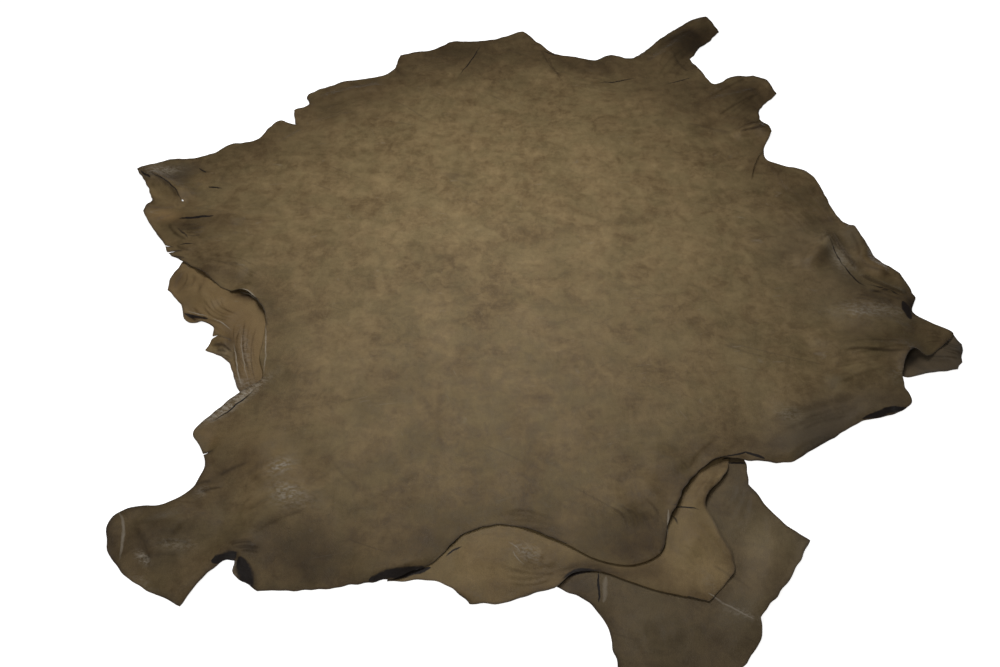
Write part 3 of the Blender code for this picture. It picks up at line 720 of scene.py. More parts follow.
def liftHeight(points, inside):
    height = np.zeros(len(points))
    turned = 0.0 if inside is None else blend(1.0 - inside / reliefSizes["rollReach"])
    for lift in lifts:
        away = np.hypot(points[:, 0] - lift.x, points[:, 1] - lift.y)
        height += lift.height * np.exp(-((away / lift.radius) ** 2)) * (1.0 - lift.roll * turned)
    return height


# Each panel's ring of edge points, and each pleat's strip as a closed footprint

rings = {}
marks = {}
strips = {}
rolledCount = {}


def wanderEdge(ring, fixed):
    random = np.random.default_rng(hideSizes["seed"] + len(ring))
    step = np.hypot(*(np.roll(ring, -1, axis=0) - ring).T)
    place = np.concatenate([[0.0], np.cumsum(step)[:-1]])
    total = step.sum()
    ahead = np.roll(ring, -1, axis=0) - np.roll(ring, 1, axis=0)
    out = np.column_stack([-ahead[:, 1], ahead[:, 0]]) / np.hypot(*ahead.T)[:, None]
    shift = np.zeros(len(ring))
    for turns in random.integers(int(total / 0.25), int(total / 0.030), 26):
        wave = 2.0 * math.pi * turns * place / total + random.uniform(0.0, 6.283)
        shift += np.sin(wave) / math.sqrt(turns)
    shift *= hideSizes["raggedness"] / shift.std()
    if fixed.any():
        gap = np.abs(place[:, None] - place[fixed][None])
        gap = np.minimum(gap, total - gap).min(axis=1)
        shift *= blend(gap / 0.05)
    return ring + out * shift[:, None]


# Narrow cuts from the edge: the ring runs in along one side and out along the other.
def cutSlits(panel):
    for slit in slits:
        if slit.panel != panel:
            continue
        ring = rings[panel]
        at = int(np.hypot(ring[:, 0] - slit.x, ring[:, 1] - slit.y).argmin())
        ahead = ring[(at + 1) % len(ring)] - ring[at - 1]
        half = ahead / np.hypot(*ahead) * slit.width / 2
        tip = np.array((slit.endX, slit.endY))
        pieces = max(2, round(math.dist(ring[at], tip) / hideSizes["edgeStep"]))
        shares = np.linspace(0.0, 1.0, pieces + 1)[:-1, None]
        wayIn = ring[at] + (tip - ring[at]) * shares - half * (1.0 - shares)
        wayOut = ring[at] + (tip - ring[at]) * shares + half * (1.0 - shares)
        cut = np.vstack([wayIn, tip[None], wayOut[::-1]])
        rings[panel] = np.vstack([ring[:at], cut, ring[at + 1 :]])
        marks[panel] = {k: v + (len(cut) - 1 if v > at else 0) for k, v in marks[panel].items()}


def layOutTop():
    ring, marks["top"] = smoothEdge(topEdge, True)
    fixed = np.zeros(len(ring), bool)
    for pleat in pleats:
        if pleat.upper == "top":
            fixed[marks["top"][pleat.start] : marks["top"][pleat.end] + 1] = True
    rings["top"] = wanderEdge(ring, fixed)
    cutSlits("top")
    rolledCount["top"] = 0


def layOutLower():
    for pleat in pleats:
        upper = rings[pleat.upper]
        mark = marks[pleat.upper]
        roll = upper[mark[pleat.start] : mark[pleat.end] + 1]
        back = roll + np.array((pleat.backX, pleat.backY))
        ends = (Turn("roll end", *back[-1]), Turn("roll start", *back[0]))
        free, freeMarks = smoothEdge(ends[1:] + pleat.turns + ends[:1], False)
        ring = np.vstack([back[::-1], free[1:-1]])
        fixed = np.zeros(len(ring), bool)
        fixed[: len(back)] = True
        marks[pleat.lower] = {k: v + len(back) - 1 for k, v in freeMarks.items()}
        for below in pleats:
            if below.upper == pleat.lower:
                mark = marks[pleat.lower]
                fixed[mark[below.start] : mark[below.end] + 1] = True
        rings[pleat.lower] = wanderEdge(ring, fixed)
        rolledCount[pleat.lower] = len(back)
        cutSlits(pleat.lower)
        strips[pleat.place] = np.vstack([roll, back[::-1]])


layOutTop()
layOutLower()
footprints = {**rings, "front": strips["front"], "under": strips["under"], "bay strip": strips["bay"]}


# Which of a panel's edge segments are cut edges, and not rolled ones
def freeSegments(panel):
    free = np.ones(len(rings[panel]), bool)
    free[: max(0, rolledCount[panel] - 1)] = False
    for pleat in pleats:
        if pleat.upper == panel:
            free[marks[panel][pleat.start] : marks[panel][pleat.end]] = False
    return free


# How high the middle of a panel lies over each point. With no inside distance, the edge's own
# ruffles and the smallest relief are left out.
def panelHeight(panel, points, inside=None):
    points = np.atleast_2d(points)
    top = panel == "top"
    reach = hideSizes["topReach"] if top else hideSizes["underReach"]
    height = np.full(len(points), hideSizes["thickness"] / 2)
    for name in layersUnder.get(panel, ()):
        height += hideSizes["layerRise"] * cover(points, footprints[name], reach)
    relief = ridgeHeight(points, panelRidges[panel])
    if top:
        relief += liftHeight(points, inside)
    if inside is not None:
        relief += creaseShape(points, panel)[0]
        edge = np.clip(1.0 - inside / reliefSizes["ruffleReach"], 0.0, 1.0) ** 2
        lip = np.clip(1.0 - inside / reliefSizes["curlReach"], 0.0, 1.0) ** 2
        extra = reliefSizes["swell"] * blend(0.5 * waveHeight(points, "swell") + 0.15)
        extra += reliefSizes["ruffle"] * edge * blend(0.6 * waveHeight(points, "ruffle") + 0.2)
        extra += reliefSizes["curl"] * lip * blend(0.6 * waveHeight(points, "curl") + 0.3)
        extra += reliefSizes["pucker"] * blend(0.6 * waveHeight(points, "pucker") + 0.3)
        for pleat in pleats:
            if panel in (pleat.upper, pleat.lower):
                extra *= 1.0 - cover(points, strips[pleat.place], hideSizes["underReach"])
        relief += extra
    if top:
        away = np.hypot(points[:, 0] - reliefSizes["flatX"], points[:, 1] - reliefSizes["flatY"])
        relief *= blend(away / reliefSizes["flatHalf"] - 1.0)
    else:
        relief *= 1.0 - cover(points, rings["top"], hideSizes["underReach"] / 2)
        if panel == "third":
            relief *= 1.0 - cover(points, rings["second"], hideSizes["underReach"] / 2)
    for pleat in pleats:
        if panel in (pleat.upper, pleat.lower) and pleat.backY:
            relief *= 1.0 - cover(points, strips[pleat.place], hideSizes["underReach"])
    return height + relief


def clearOfHoles(panel, points):
    clear = np.ones(len(points), bool)
    for hole in holes:
        if panel == "top":
            clear &= np.hypot(points[:, 0] - hole.x, points[:, 1] - hole.y) > hole.radius + 0.003
    return clear


# Points inside a panel: close together where it bends and along its edge, further apart elsewhere
def innerPoints(panel):
    ring = rings[panel]
    step = hideSizes["fineStep"]
    low, high = ring.min(axis=0), ring.max(axis=0)
    rows = int((high[1] - low[1]) / (step * 3**0.5 / 2)) + 2
    columns = int((high[0] - low[0]) / step) + 3
    row, column = np.mgrid[0:rows, -1:columns]
    x = low[0] + step * (column + 0.5 * (row % 2))
    y = low[1] + step * row * 3**0.5 / 2
    coarse = ((row % 2 == 0) & ((column + (row // 2) % 2) % 2 == 0)).ravel()
    points = np.column_stack([x.ravel(), y.ravel()])
    gap, inside = ringDistance(points, ring)
    keep = inside & (gap > 0.55 * step) & clearOfHoles(panel, points)
    points, coarse, gap = points[keep], coarse[keep], gap[keep]
    here = panelHeight(panel, points)
    bend = np.zeros(len(points))
    for dx, dy in ((step, 0.0), (0.0, step), (0.7 * step, 0.7 * step)):
        ahead = panelHeight(panel, points + np.array((dx, dy)))
        behind = panelHeight(panel, points - np.array((dx, dy)))
        bend = np.maximum(bend, np.abs(ahead + behind - 2.0 * here))
    points = points[coarse | (bend > hideSizes["bendLimit"]) | (gap < hideSizes["fineEdge"])]
    points = creasePoints(panel, points)
    gap, inside = ringDistance(points, ring)
    return points[inside & (gap > 0.35 * step) & clearOfHoles(panel, points)]


hideMesh = bmesh.new()
vertexRows = []           # one for each vertex: plan place, panel and distance from the cut edge
Row = namedtuple("Row", "x y panel inside")


def addPanel(panel, faceUp):
    ring = rings[panel]
    after = np.roll(ring, -1, axis=0)
    clockwise = (ring[:, 0] * after[:, 1] - ring[:, 1] * after[:, 0]).sum() < 0
    outlines = [list(range(len(ring)))[:: -1 if clockwise else 1]]
    points = [ring, innerPoints(panel)]
    for hole in holes:
        if panel == "top":
            turn = np.linspace(0.0, 2.0 * math.pi, 12, endpoint=False)
            uneven = hole.radius * (1.0 + 0.25 * np.sin(2.0 * turn + hole.x * 40.0))
            first = sum(len(part) for part in points)
            points.append(np.column_stack([hole.x + uneven * np.cos(turn), hole.y + uneven * np.sin(turn)]))
            outlines.append(list(range(first, first + 12)))
    cut = delaunay_2d_cdt([Vector(p) for p in np.vstack(points)], [], outlines, 1, 1e-7, True)
    flat, _, faces, sources, _, covered = cut
    places = np.array([tuple(p) for p in flat])
    inside = ringDistance(places, ring, freeSegments(panel))[0]
    heights = panelHeight(panel, places, inside)
    made = [hideMesh.verts.new((x, y, z)) for (x, y), z in zip(places, heights)]
    vertexRows.extend(Row(x, y, panel, far) for (x, y), far in zip(places, inside))
    for face, whole in zip(faces, covered):
        corners = [made[i] for i in face]
        if list(whole) == [0]:
            hideMesh.faces.new(corners if faceUp else corners[::-1])
    found = {source: made[i] for i, group in enumerate(sources) for source in group}
    return [found[i] for i in range(len(ring))]


def addRoll(rows, place, out, middle, first, last):
    radius = abs(last - first) / 2
    for step in range(1, hideSizes["rollSteps"]):
        angle = math.pi * step / hideSizes["rollSteps"]
        rows.append((place + out * radius * math.sin(angle), middle + (first - middle) * math.cos(angle)))


def addPleat(pleat, upperRing, lowerRing):
    start, end = marks[pleat.upper][pleat.start], marks[pleat.upper][pleat.end]
    topPoints = upperRing[start : end + 1]
    bottomPoints = lowerRing[: len(topPoints)][::-1]
    chord = rings[pleat.upper][end] - rings[pleat.upper][start]
    out = np.array((-chord[1], chord[0])) / np.hypot(*chord)
    rise = hideSizes["layerRise"]
    columns = []
    for top, bottom in zip(topPoints, bottomPoints):
        upper = np.array(top.co[:2])
        lower = np.array(bottom.co[:2])
        rows = []
        if pleat.backY:
            bottom.co.z = panelHeight(pleat.upper, lower)[0] - 2 * rise
            stripStart = top.co.z - rise
            stripEnd = bottom.co.z + rise
            addRoll(rows, upper, out, top.co.z - rise / 2, top.co.z, stripStart)
            for share in (0.0, 0.25, 0.5, 0.75):
                place = upper + (lower - upper) * share
                rows.append((place, panelHeight(pleat.upper, place)[0] - rise if share else stripStart))
            rows.append((lower, stripEnd))
            addRoll(rows, lower, -out, bottom.co.z + rise / 2, stripEnd, bottom.co.z)
        else:
            addRoll(rows, upper, out, (top.co.z + bottom.co.z) / 2, top.co.z, bottom.co.z)
        made = [hideMesh.verts.new((*place, height)) for place, height in rows]
        vertexRows.extend(Row(*place, pleat.upper, 0.05) for place, height in rows)
        columns.append([top] + made + [bottom])
    for left, right in zip(columns, columns[1:]):
        for i in range(len(left) - 1):
            hideMesh.faces.new((right[i], right[i + 1], left[i + 1], left[i]))


edgeRings = {"top": addPanel("top", True)}
for pleat in pleats:
    edgeRings[pleat.lower] = addPanel(pleat.lower, bool(pleat.backY))
    addPleat(pleat, edgeRings[pleat.upper], edgeRings[pleat.lower])
vertexRows = [row for row, vertex in zip(vertexRows, hideMesh.verts) if vertex.link_faces]
bmesh.ops.delete(hideMesh, geom=[v for v in hideMesh.verts if not v.link_faces], context="VERTS")
print("stage 2: middle of the sheet,", len(hideMesh.faces), "faces")

# How dark and how warm the tanned surface is made, from place to place: the skin's own colour, with painted
# shade and painted highlight

# Darker places, lighter ones (dark less than 0) and warmer or greyer ones, each over its reach
# along its turn. Many rows paint shade and highlight in place of light.
ToneAndShadeSpot = namedtuple("ToneAndShadeSpot", "place panel x y reachX reachY turn dark warm")
# Painted shade: the far shank, far dip, far belly, far left, far lobe, far right, left rise, near left, left
# shank, rump and right dark rows darken where the light falls off, and the notch, near edge, tail curl,
# mouth, shank mouth, neck hollow, opening, lobe curl, bridge, folded bit, over the bay and shade rows paint
# the shade in hollows, gaps, curls and folds. Painted highlight: the pale facet and brown facet rows light
# the lit side of the tail fold.
toneAndShadeSpots = rowsOf(ToneAndShadeSpot, (
    ("right edge", "top", 0.634, -0.794, 0.052, 0.021, 10, 0.16, 0.0),
    ("second rose", "second", 0.4, -1.016, 0.038, 0.023, 8, 0.14, 0.25),
    ("second strip shade", "second", 0.29, -1.109, 0.024, 0.018, -11, 0.3, 0.1),
    ("spine patch", "top", -0.169, -0.109, 0.085, 0.025, 20, 0.11, 0.0),
    ("spine patch dark", "top", -0.168, -0.115, 0.037, 0.017, 14, 0.08, 0.0),
    ("spine dark", "top", 0.037, -0.068, 0.046, 0.017, 18, 0.15, 0.0),
    ("spine dark right", "top", 0.121, -0.023, 0.056, 0.021, 25, 0.15, 0.0),
    ("spine", "top", 0.278, 0.027, 0.096, 0.018, 12, 0.16, 0.0),
    ("spine right", "top", 0.465, 0.074, 0.073, 0.018, 16, 0.18, 0.0),
    ("spine end", "top", 0.674, 0.142, 0.129, 0.031, 19, 0.1, 0.0),
    ("spine left", "top", -0.462, -0.227, 0.077, 0.032, 16, 0.08, 0.0),
    ("strip", "top", -0.123, -0.272, 0.114, 0.02, -77, 0.11, 0.0),
    ("strip pale", "top", -0.085, -0.249, 0.109, 0.014, -73, -0.09, 0.0),
    ("second strip", "top", -0.02, -0.267, 0.124, 0.025, -86, 0.09, 0.0),
    ("second pale", "top", 0.056, -0.232, 0.114, 0.02, -88, -0.08, 0.0),
    ("third strip", "top", 0.148, -0.24, 0.115, 0.012, -80, 0.11, 0.0),
    ("left patch", "top", -0.222, -0.532, 0.115, 0.031, -66, 0.08, 0.0),
    ("low pale band", "top", -0.075, -0.694, 0.209, 0.021, 11, -0.06, 0.0),
    ("low dark band", "top", -0.027, -0.739, 0.155, 0.023, 11, 0.06, 0.0),
    ("bay strip", "bay", -0.712, -0.453, 0.117, 0.03, -72, 0.34, 0.4),
    ("second neck", "second", 0.429, -0.892, 0.055, 0.018, 50, 0.12, 0.1),
    ("notch", "top", -0.612, -1.082, 0.022, 0.012, 19, 0.85, 0.0),
    ("notch side", "top", -0.558, -1.121, 0.033, 0.012, -59, 0.85, 0.0),
    ("notch knobs", "top", -0.565, -1.054, 0.029, 0.014, 10, 0.35, -0.3),
    ("pale facet", "top", 0.952, -0.122, 0.055, 0.027, -80, -0.8, -0.6),
    ("brown facet", "top", 1.044, -0.175, 0.063, 0.041, -56, -0.36, 0.5),
    ("tail bump", "top", 0.917, -0.079, 0.018, 0.013, -86, -0.35, 0.0),
    ("corner", "top", -1.036, 0.258, 0.098, 0.054, -20, 0.34, -0.45),
    ("corner triangle", "top", -1.084, 0.151, 0.058, 0.029, -38, -0.25, 0.25),
    ("neck point", "top", -1.054, 0.055, 0.044, 0.033, 7, -0.34, 1.1),
    ("warm patch", "top", -0.989, 0.235, 0.042, 0.042, 20, -0.42, 0.6),
    ("neck lower edge", "top", -1.024, -0.053, 0.079, 0.025, -45, -0.1, 0.35),
    ("second lobe corner", "second", -0.109, -1.156, 0.023, 0.017, -30, 0.2, 0.0),
    ("tail curl", "top", 1.101, -0.317, 0.041, 0.019, -101, 0.85, 0.0),
    ("far shank", "top", 0.721, 1.085, 0.16, 0.093, 53, 0.78, 0.0),
    ("far dip", "top", 0.347, 0.942, 0.159, 0.084, -14, 0.4, 0.1),
    ("far belly", "top", -0.139, 1.015, 0.288, 0.168, 14, 0.48, 0.1),
    ("far left", "top", -0.561, 0.72, 0.206, 0.144, 32, 0.36, 0.15),
    ("far lobe", "top", 0.864, 0.718, 0.099, 0.099, 33, 0.48, 0.1),
    ("left rise", "top", -0.858, 0.451, 0.175, 0.101, 31, 0.18, 0.1),
    ("near left", "top", -0.46, -1.054, 0.125, 0.069, -17, 0.52, -0.1),
    ("near edge", "top", -0.23, -1.108, 0.063, 0.009, 16, 0.85, 0.0),
    ("left shank", "top", -0.771, -1.033, 0.117, 0.082, -14, 0.3, -0.2),
    ("shank end", "top", -0.872, -1.032, 0.052, 0.012, -67, 0.4, 0.0),
    ("front wrinkle", "top", 0.264, -1.03, 0.082, 0.05, 14, 0.4, 0.08),
    ("neck hollow", "top", -0.977, 0.013, 0.06, 0.024, -21, 0.62, 0.1),
    ("neck slit shade", "top", -0.933, 0.041, 0.078, 0.027, -4, 0.4, 0.1),
    ("near right edge", "top", 0.711, -0.771, 0.113, 0.031, 17, 0.14, -0.4),
    ("left warm", "top", -0.603, -0.796, 0.131, 0.059, -27, -0.02, 0.35),
    ("left pale", "top", -0.451, -0.557, 0.123, 0.04, -66, -0.06, 0.0),
    ("left dark", "top", -0.61, -0.452, 0.168, 0.036, -69, 0.12, 0.0),
    ("left fold shade", "top", -0.304, -0.835, 0.151, 0.038, 42, 0.1, 0.0),
    ("middle right dark", "top", 0.343, -0.449, 0.121, 0.065, 18, 0.06, 0.0),
    ("shank inside", "shank", 1.071, -0.529, 0.055, 0.022, 11, 0.05, 0.0),
    ("shank mouth", "shank", 1.04, -0.509, 0.018, 0.016, 12, 0.7, 0.0),
    ("shank tip", "shank", 1.162, -0.474, 0.03, 0.03, -50, 0.5, 0.0),
    ("bridge", "second", 0.19, -1.104, 0.092, 0.02, -8, 0.55, 0.0),
    ("bridge left", "second", 0.063, -1.098, 0.053, 0.025, -18, 0.18, 0.0),
    ("lobe bright", "second", -0.068, -1.098, 0.057, 0.033, -22, -0.34, 0.1),
    ("right bright", "second", 0.387, -1.082, 0.056, 0.045, -76, -0.42, 0.1),
    ("right curve shade", "second", 0.46, -1.08, 0.033, 0.011, -89, 0.2, 0.0),
    ("third bright", "third", 0.555, -1.035, 0.058, 0.058, -67, -0.45, 0.0),
    ("crumple lobe", "bay", -0.749, -0.498, 0.046, 0.031, -18, -0.26, -0.95),
    ("dip line", "top", 0.246, 0.912, 0.139, 0.022, -51, 0.22, 0.1),
    ("far right", "top", 0.649, 0.68, 0.229, 0.138, -41, 0.34, 0.1),
    ("rump", "top", 0.908, 0.161, 0.155, 0.1, -65, 0.22, 0.1),
    ("rump step", "top", 0.795, 0.313, 0.1, 0.019, -107, 0.12, 0.1),
    ("step top", "top", 0.763, 0.339, 0.073, 0.016, -110, -0.12, 0.0),
    ("folded bit", "top", 0.855, 0.525, 0.038, 0.031, -54, 0.5, 0.0),
    ("corner shade", "top", -1.035, 0.213, 0.102, 0.022, -39, 0.25, -0.1),
    ("corner tip", "top", -1.172, 0.263, 0.03, 0.017, -48, 0.5, -0.1),
    ("neck band", "top", -0.842, 0.027, 0.104, 0.052, -11, 0.16, 0.1),
    ("over the bay", "top", -0.803, -0.199, 0.088, 0.024, -29, 0.32, 0.0),
    ("bay shoulder", "top", -0.675, -0.296, 0.064, 0.025, -59, 0.26, 0.0),
    ("left point", "top", -0.722, -0.765, 0.025, 0.014, -37, 0.0, 0.6),
    ("hip", "top", -0.639, -0.827, 0.065, 0.037, 42, 0.3, 0.0),
    ("root", "top", -0.696, -0.881, 0.043, 0.017, 46, 0.35, 0.0),
    ("near middle", "top", -0.207, -1.03, 0.097, 0.061, 7, 0.22, 0.05),
    ("front left", "top", 0.058, -1.001, 0.143, 0.029, -17, 0.18, 0.05),
    ("front right", "top", 0.313, -0.926, 0.134, 0.034, 39, 0.22, 0.05),
    ("facet shade", "top", 0.947, -0.181, 0.102, 0.028, -58, 0.26, 0.0),
    ("tail hollow", "top", 1.031, -0.292, 0.058, 0.025, -18, 0.3, 0.0),
    ("pale band", "top", 0.982, -0.346, 0.089, 0.019, 1, -0.22, -0.25),
    ("right dark", "top", 0.963, -0.177, 0.261, 0.19, -72, 0.26, -0.25),
    ("foot", "top", 0.802, -0.708, 0.182, 0.068, 20, 0.18, -0.55),
    ("mouth", "top", 1.042, -0.503, 0.021, 0.011, 25, 0.65, 0.0),
    ("shank upper", "top", 1.02, -0.457, 0.14, 0.046, 9, 0.22, 0.05),
    ("far line left", "top", -0.411, 0.907, 0.046, 0.019, -73, 0.3, 0.0),
    ("lobe tip", "bay", -0.935, -0.219, 0.051, 0.021, -66, 0.42, 0.0),
    ("opening", "bay", -0.739, -0.279, 0.045, 0.014, -16, 0.92, 0.0),
    ("opening side", "bay", -0.684, -0.329, 0.04, 0.008, -65, 0.5, 0.0),
    ("lobe curl", "bay", -0.853, -0.37, 0.038, 0.01, -24, 0.65, 0.0),
    ("strip foot", "bay", -0.661, -0.598, 0.029, 0.026, 0, 0.35, -0.2),
    ("strip side", "bay", -0.726, -0.485, 0.113, 0.01, -68, 0.35, -0.2),
    ("lobe shade", "second", 0.005, -1.147, 0.1, 0.02, 1, 0.28, 0.1),
    ("upper strip", "second", 0.495, -0.841, 0.039, 0.02, 26, 0.26, 0.0),
    ("right corner", "second", 0.34, -1.154, 0.081, 0.015, -6, 0.25, 0.0),
    ("third left", "third", 0.147, -1.14, 0.04, 0.022, -13, 0.32, 0.0),
    ("third top", "third", 0.527, -0.889, 0.045, 0.029, -86, 0.28, 0.0),
    ("third near", "third", 0.35, -1.255, 0.104, 0.044, -3, 0.1, 0.0),
    ("third side", "third", 0.202, -1.239, 0.054, 0.016, -84, 0.25, 0.0),
))

# Rubbed pale places, and the painted highlight on the lit facet of the tail fold
RubAndHighlightSpot = namedtuple("RubAndHighlightSpot", "place panel x y reachX reachY turn amount")
rubsAndHighlight = rowsOf(RubAndHighlightSpot, (
    ("right scuff", "top", 0.955, -0.353, 0.04, 0.012, 10, 1.35),
    ("pale band", "top", 0.987, -0.34, 0.092, 0.03, 0, 0.7),
    # painted highlight on the lit facet
    ("facet", "top", 0.952, -0.122, 0.055, 0.024, -80, 0.8),
    ("hip scuff", "top", -0.54, -0.841, 0.025, 0.02, 27, 1.5),
    ("hip scuff low", "top", -0.502, -0.916, 0.042, 0.026, -23, 1.2),
    ("turned band", "top", -0.688, -0.655, 0.08, 0.013, 49, 1.8),
    ("shank mark", "top", -0.794, -1.07, 0.018, 0.008, -42, 1.5),
    ("root", "top", -0.708, -0.905, 0.014, 0.014, 50, 0.5),
    ("corner tip", "top", -1.12, 0.274, 0.052, 0.028, 19, 1.1),
    ("near root", "top", -0.782, -1.128, 0.032, 0.009, -33, 0.5),
    ("second corner", "second", 0.404, -1.123, 0.025, 0.014, -68, 0.3),
    ("strip end", "bay", -0.676, -0.585, 0.028, 0.017, -30, 0.6),
    ("strip side", "bay", -0.696, -0.479, 0.089, 0.013, -70, 0.4),
    ("shank marks", "top", -0.729, -1.042, 0.037, 0.012, -4, 0.5),
    ("lower right", "top", 0.682, -0.687, 0.031, 0.025, -50, 0.5),
    ("shank upper", "top", 0.983, -0.565, 0.033, 0.02, 39, 0.4),
    ("lobe scratches", "second", 0.031, -1.06, 0.033, 0.018, -34, 0.9),
    ("third crease", "third", 0.388, -0.952, 0.035, 0.008, -9, 0.5),
    ("third foot", "third", 0.466, -1.198, 0.038, 0.009, -27, 0.7),
    ("notch rim", "top", -0.578, -1.114, 0.028, 0.006, -20, 0.5),
))
# The dark and reach entries paint shade along the free edges; the rim entries darken the cut edge itself.
edgeShadeAndRim = {"dark": 0.22, "reach": 0.12, "rimDark": 0.45, "rimReach": 0.006}
panelTones = {"top": 0.0, "second": -0.12, "third": 0.17, "bay": 0.02, "shank": 0.06}
panelWarmth = {"top": 0.0, "second": 0.25, "third": -0.30, "bay": 0.60, "shank": 0.1}

places = np.array([(row.x, row.y) for row in vertexRows])
toneAndShade = np.array([1.0 - panelTones[row.panel] for row in vertexRows])
warmth = np.array([panelWarmth[row.panel] for row in vertexRows])
wearAndHighlight = np.zeros(len(places))
panelOf = np.array([row.panel for row in vertexRows])
sway = np.column_stack([waveHeight(places, "curl"), waveHeight(places, "ruffle")])


# 1 at a spot's middle, falling off unevenly over its reach
def spotShare(spot):
    turn = math.radians(spot.turn)
    moved = places + sway * 0.3 * spot.reachY - np.array((spot.x, spot.y))
    along = (moved[:, 0] * math.cos(turn) + moved[:, 1] * math.sin(turn)) / spot.reachX
    across = (moved[:, 1] * math.cos(turn) - moved[:, 0] * math.sin(turn)) / spot.reachY
    return np.exp(-(along**2) - across**2) * (panelOf == spot.panel)


# the spots put the skin's own darker and lighter places and the painted shade and highlight into one
# attribute
for spot in toneAndShadeSpots:
    toneAndShade *= 1.0 - spot.dark * spotShare(spot)
    warmth += spot.warm * spotShare(spot)
for spot in rubsAndHighlight:
    wearAndHighlight = np.maximum(wearAndHighlight, spot.amount * spotShare(spot))
fromEdge = np.array([row.inside for row in vertexRows])
# Painted shade: the top panel darker towards its free edges, where the light falls off.
toneAndShade *= 1.0 - edgeShadeAndRim["dark"] * np.exp(-((fromEdge / edgeShadeAndRim["reach"]) ** 2)) * (panelOf == "top")
rimShare = np.exp(-((fromEdge / edgeShadeAndRim["rimReach"]) ** 2))
rimShare = rimShare * blend(0.5 + 0.6 * waveHeight(places, "ruffle"))
toneAndShade *= 1.0 - edgeShadeAndRim["rimDark"] * rimShare
for panel in rings:
    here = panelOf == panel
    # painted shade along the creases and wrinkles, and pale rubs where their dark is below 0
    toneAndShade[here] *= 1.0 - creaseShape(places[here], panel)[1]
toneAndShade = np.clip(toneAndShade, 0.03, 1.6)

# Helpers for node trees


def addNode(tree, kind, settings=None, inputs=None):
    made = tree.nodes.new(kind)
    for name, value in (settings or {}).items():
        setattr(made, name, value)
    for name, value in (inputs or {}).items():
        if isinstance(value, bpy.types.NodeSocket):
            tree.links.new(value, made.inputs[name])
        else:
            made.inputs[name].default_value = value
    return made


def newGroup(title, kind, inputs, outputs):
    group = bpy.data.node_groups.new(title, kind)
    for name, socketKind, value in inputs:
        socket = group.interface.new_socket(name, in_out="INPUT", socket_type=socketKind)
        if value is not None:
            socket.default_value = value
    for name, socketKind in outputs:
        group.interface.new_socket(name, in_out="OUTPUT", socket_type=socketKind)
    return group, group.nodes.new("NodeGroupInput").outputs, group.nodes.new("NodeGroupOutput").inputs


def math2(tree, operation, a, b):
    return addNode(tree, "ShaderNodeMath", {"operation": operation}, {0: a, 1: b}).outputs[0]


def vectorMath(tree, operation, a, b, c=None):
    inputs = {0: a, 1: b} if c is None else {0: a, 1: b, 2: c}
    return addNode(tree, "ShaderNodeVectorMath", {"operation": operation}, inputs)


def mixColors(tree, share, a, b, blendType="MIX"):
    settings = {"data_type": "RGBA", "blend_type": blendType}
    return addNode(tree, "ShaderNodeMix", settings, {0: share, 6: a, 7: b}).outputs[2]


def remap(tree, value, low, high, newLow=0.0, newHigh=1.0):
    settings = {"interpolation_type": "SMOOTHSTEP"}
    inputs = {"Value": value, "From Min": low, "From Max": high, "To Min": newLow, "To Max": newHigh}
    return addNode(tree, "ShaderNodeMapRange", settings, inputs).outputs[0]


def noise(tree, vector, scale, detail=3.0, roughness=0.55, distortion=0.0):
    inputs = {
        "Vector": vector,
        "Scale": scale,
        "Detail": detail,
        "Roughness": roughness,
        "Distortion": distortion,
    }
    return addNode(tree, "ShaderNodeTexNoise", None, inputs).outputs["Fac"]


def turned(tree, vector, degrees, scale):
    inputs = {"Vector": vector, "Rotation": (0.0, 0.0, math.radians(degrees)), "Scale": scale}
    return addNode(tree, "ShaderNodeMapping", {"vector_type": "POINT"}, inputs).outputs[0]


# Clouds of lighter and darker tan, and the long soft streaks of the skin
def buildMottle():
    tree, given, out = newGroup(
        "leather mottle",
        "ShaderNodeTree",
        [("Vector", "NodeSocketVector", None), ("Size", "NodeSocketFloat", 0.1)],
        [
            ("Clouds", "NodeSocketFloat"),
            ("Streaks", "NodeSocketFloat"),
            ("Pale flecks", "NodeSocketFloat"),
            ("Dark flecks", "NodeSocketFloat"),
        ],
    )
    scale = math2(tree, "DIVIDE", 1.0, given["Size"])
    clouds = noise(tree, given["Vector"], scale, 6.0, 0.66, 0.5)
    tree.links.new(remap(tree, clouds, 0.33, 0.67), out["Clouds"])
    down = noise(tree, turned(tree, given["Vector"], -22.0, (1.7, 0.55, 1.0)), scale, 5.0, 0.62, 0.6)
    across = noise(tree, turned(tree, given["Vector"], -10.0, (0.5, 1.6, 1.0)), scale, 5.0, 0.62, 0.6)
    which = remap(tree, noise(tree, given["Vector"], math2(tree, "MULTIPLY", scale, 0.25), 1.0), 0.42, 0.58)
    inputs = {0: which, 2: down, 3: across}
    streaks = addNode(tree, "ShaderNodeMix", {"data_type": "FLOAT"}, inputs).outputs[0]
    tree.links.new(remap(tree, streaks, 0.34, 0.66), out["Streaks"])
    flecks = noise(tree, given["Vector"], math2(tree, "MULTIPLY", scale, 7.0), 2.0, 0.5)
    tree.links.new(remap(tree, flecks, 0.66, 0.76), out["Pale flecks"])
    tree.links.new(remap(tree, flecks, 0.34, 0.26), out["Dark flecks"])
    return tree


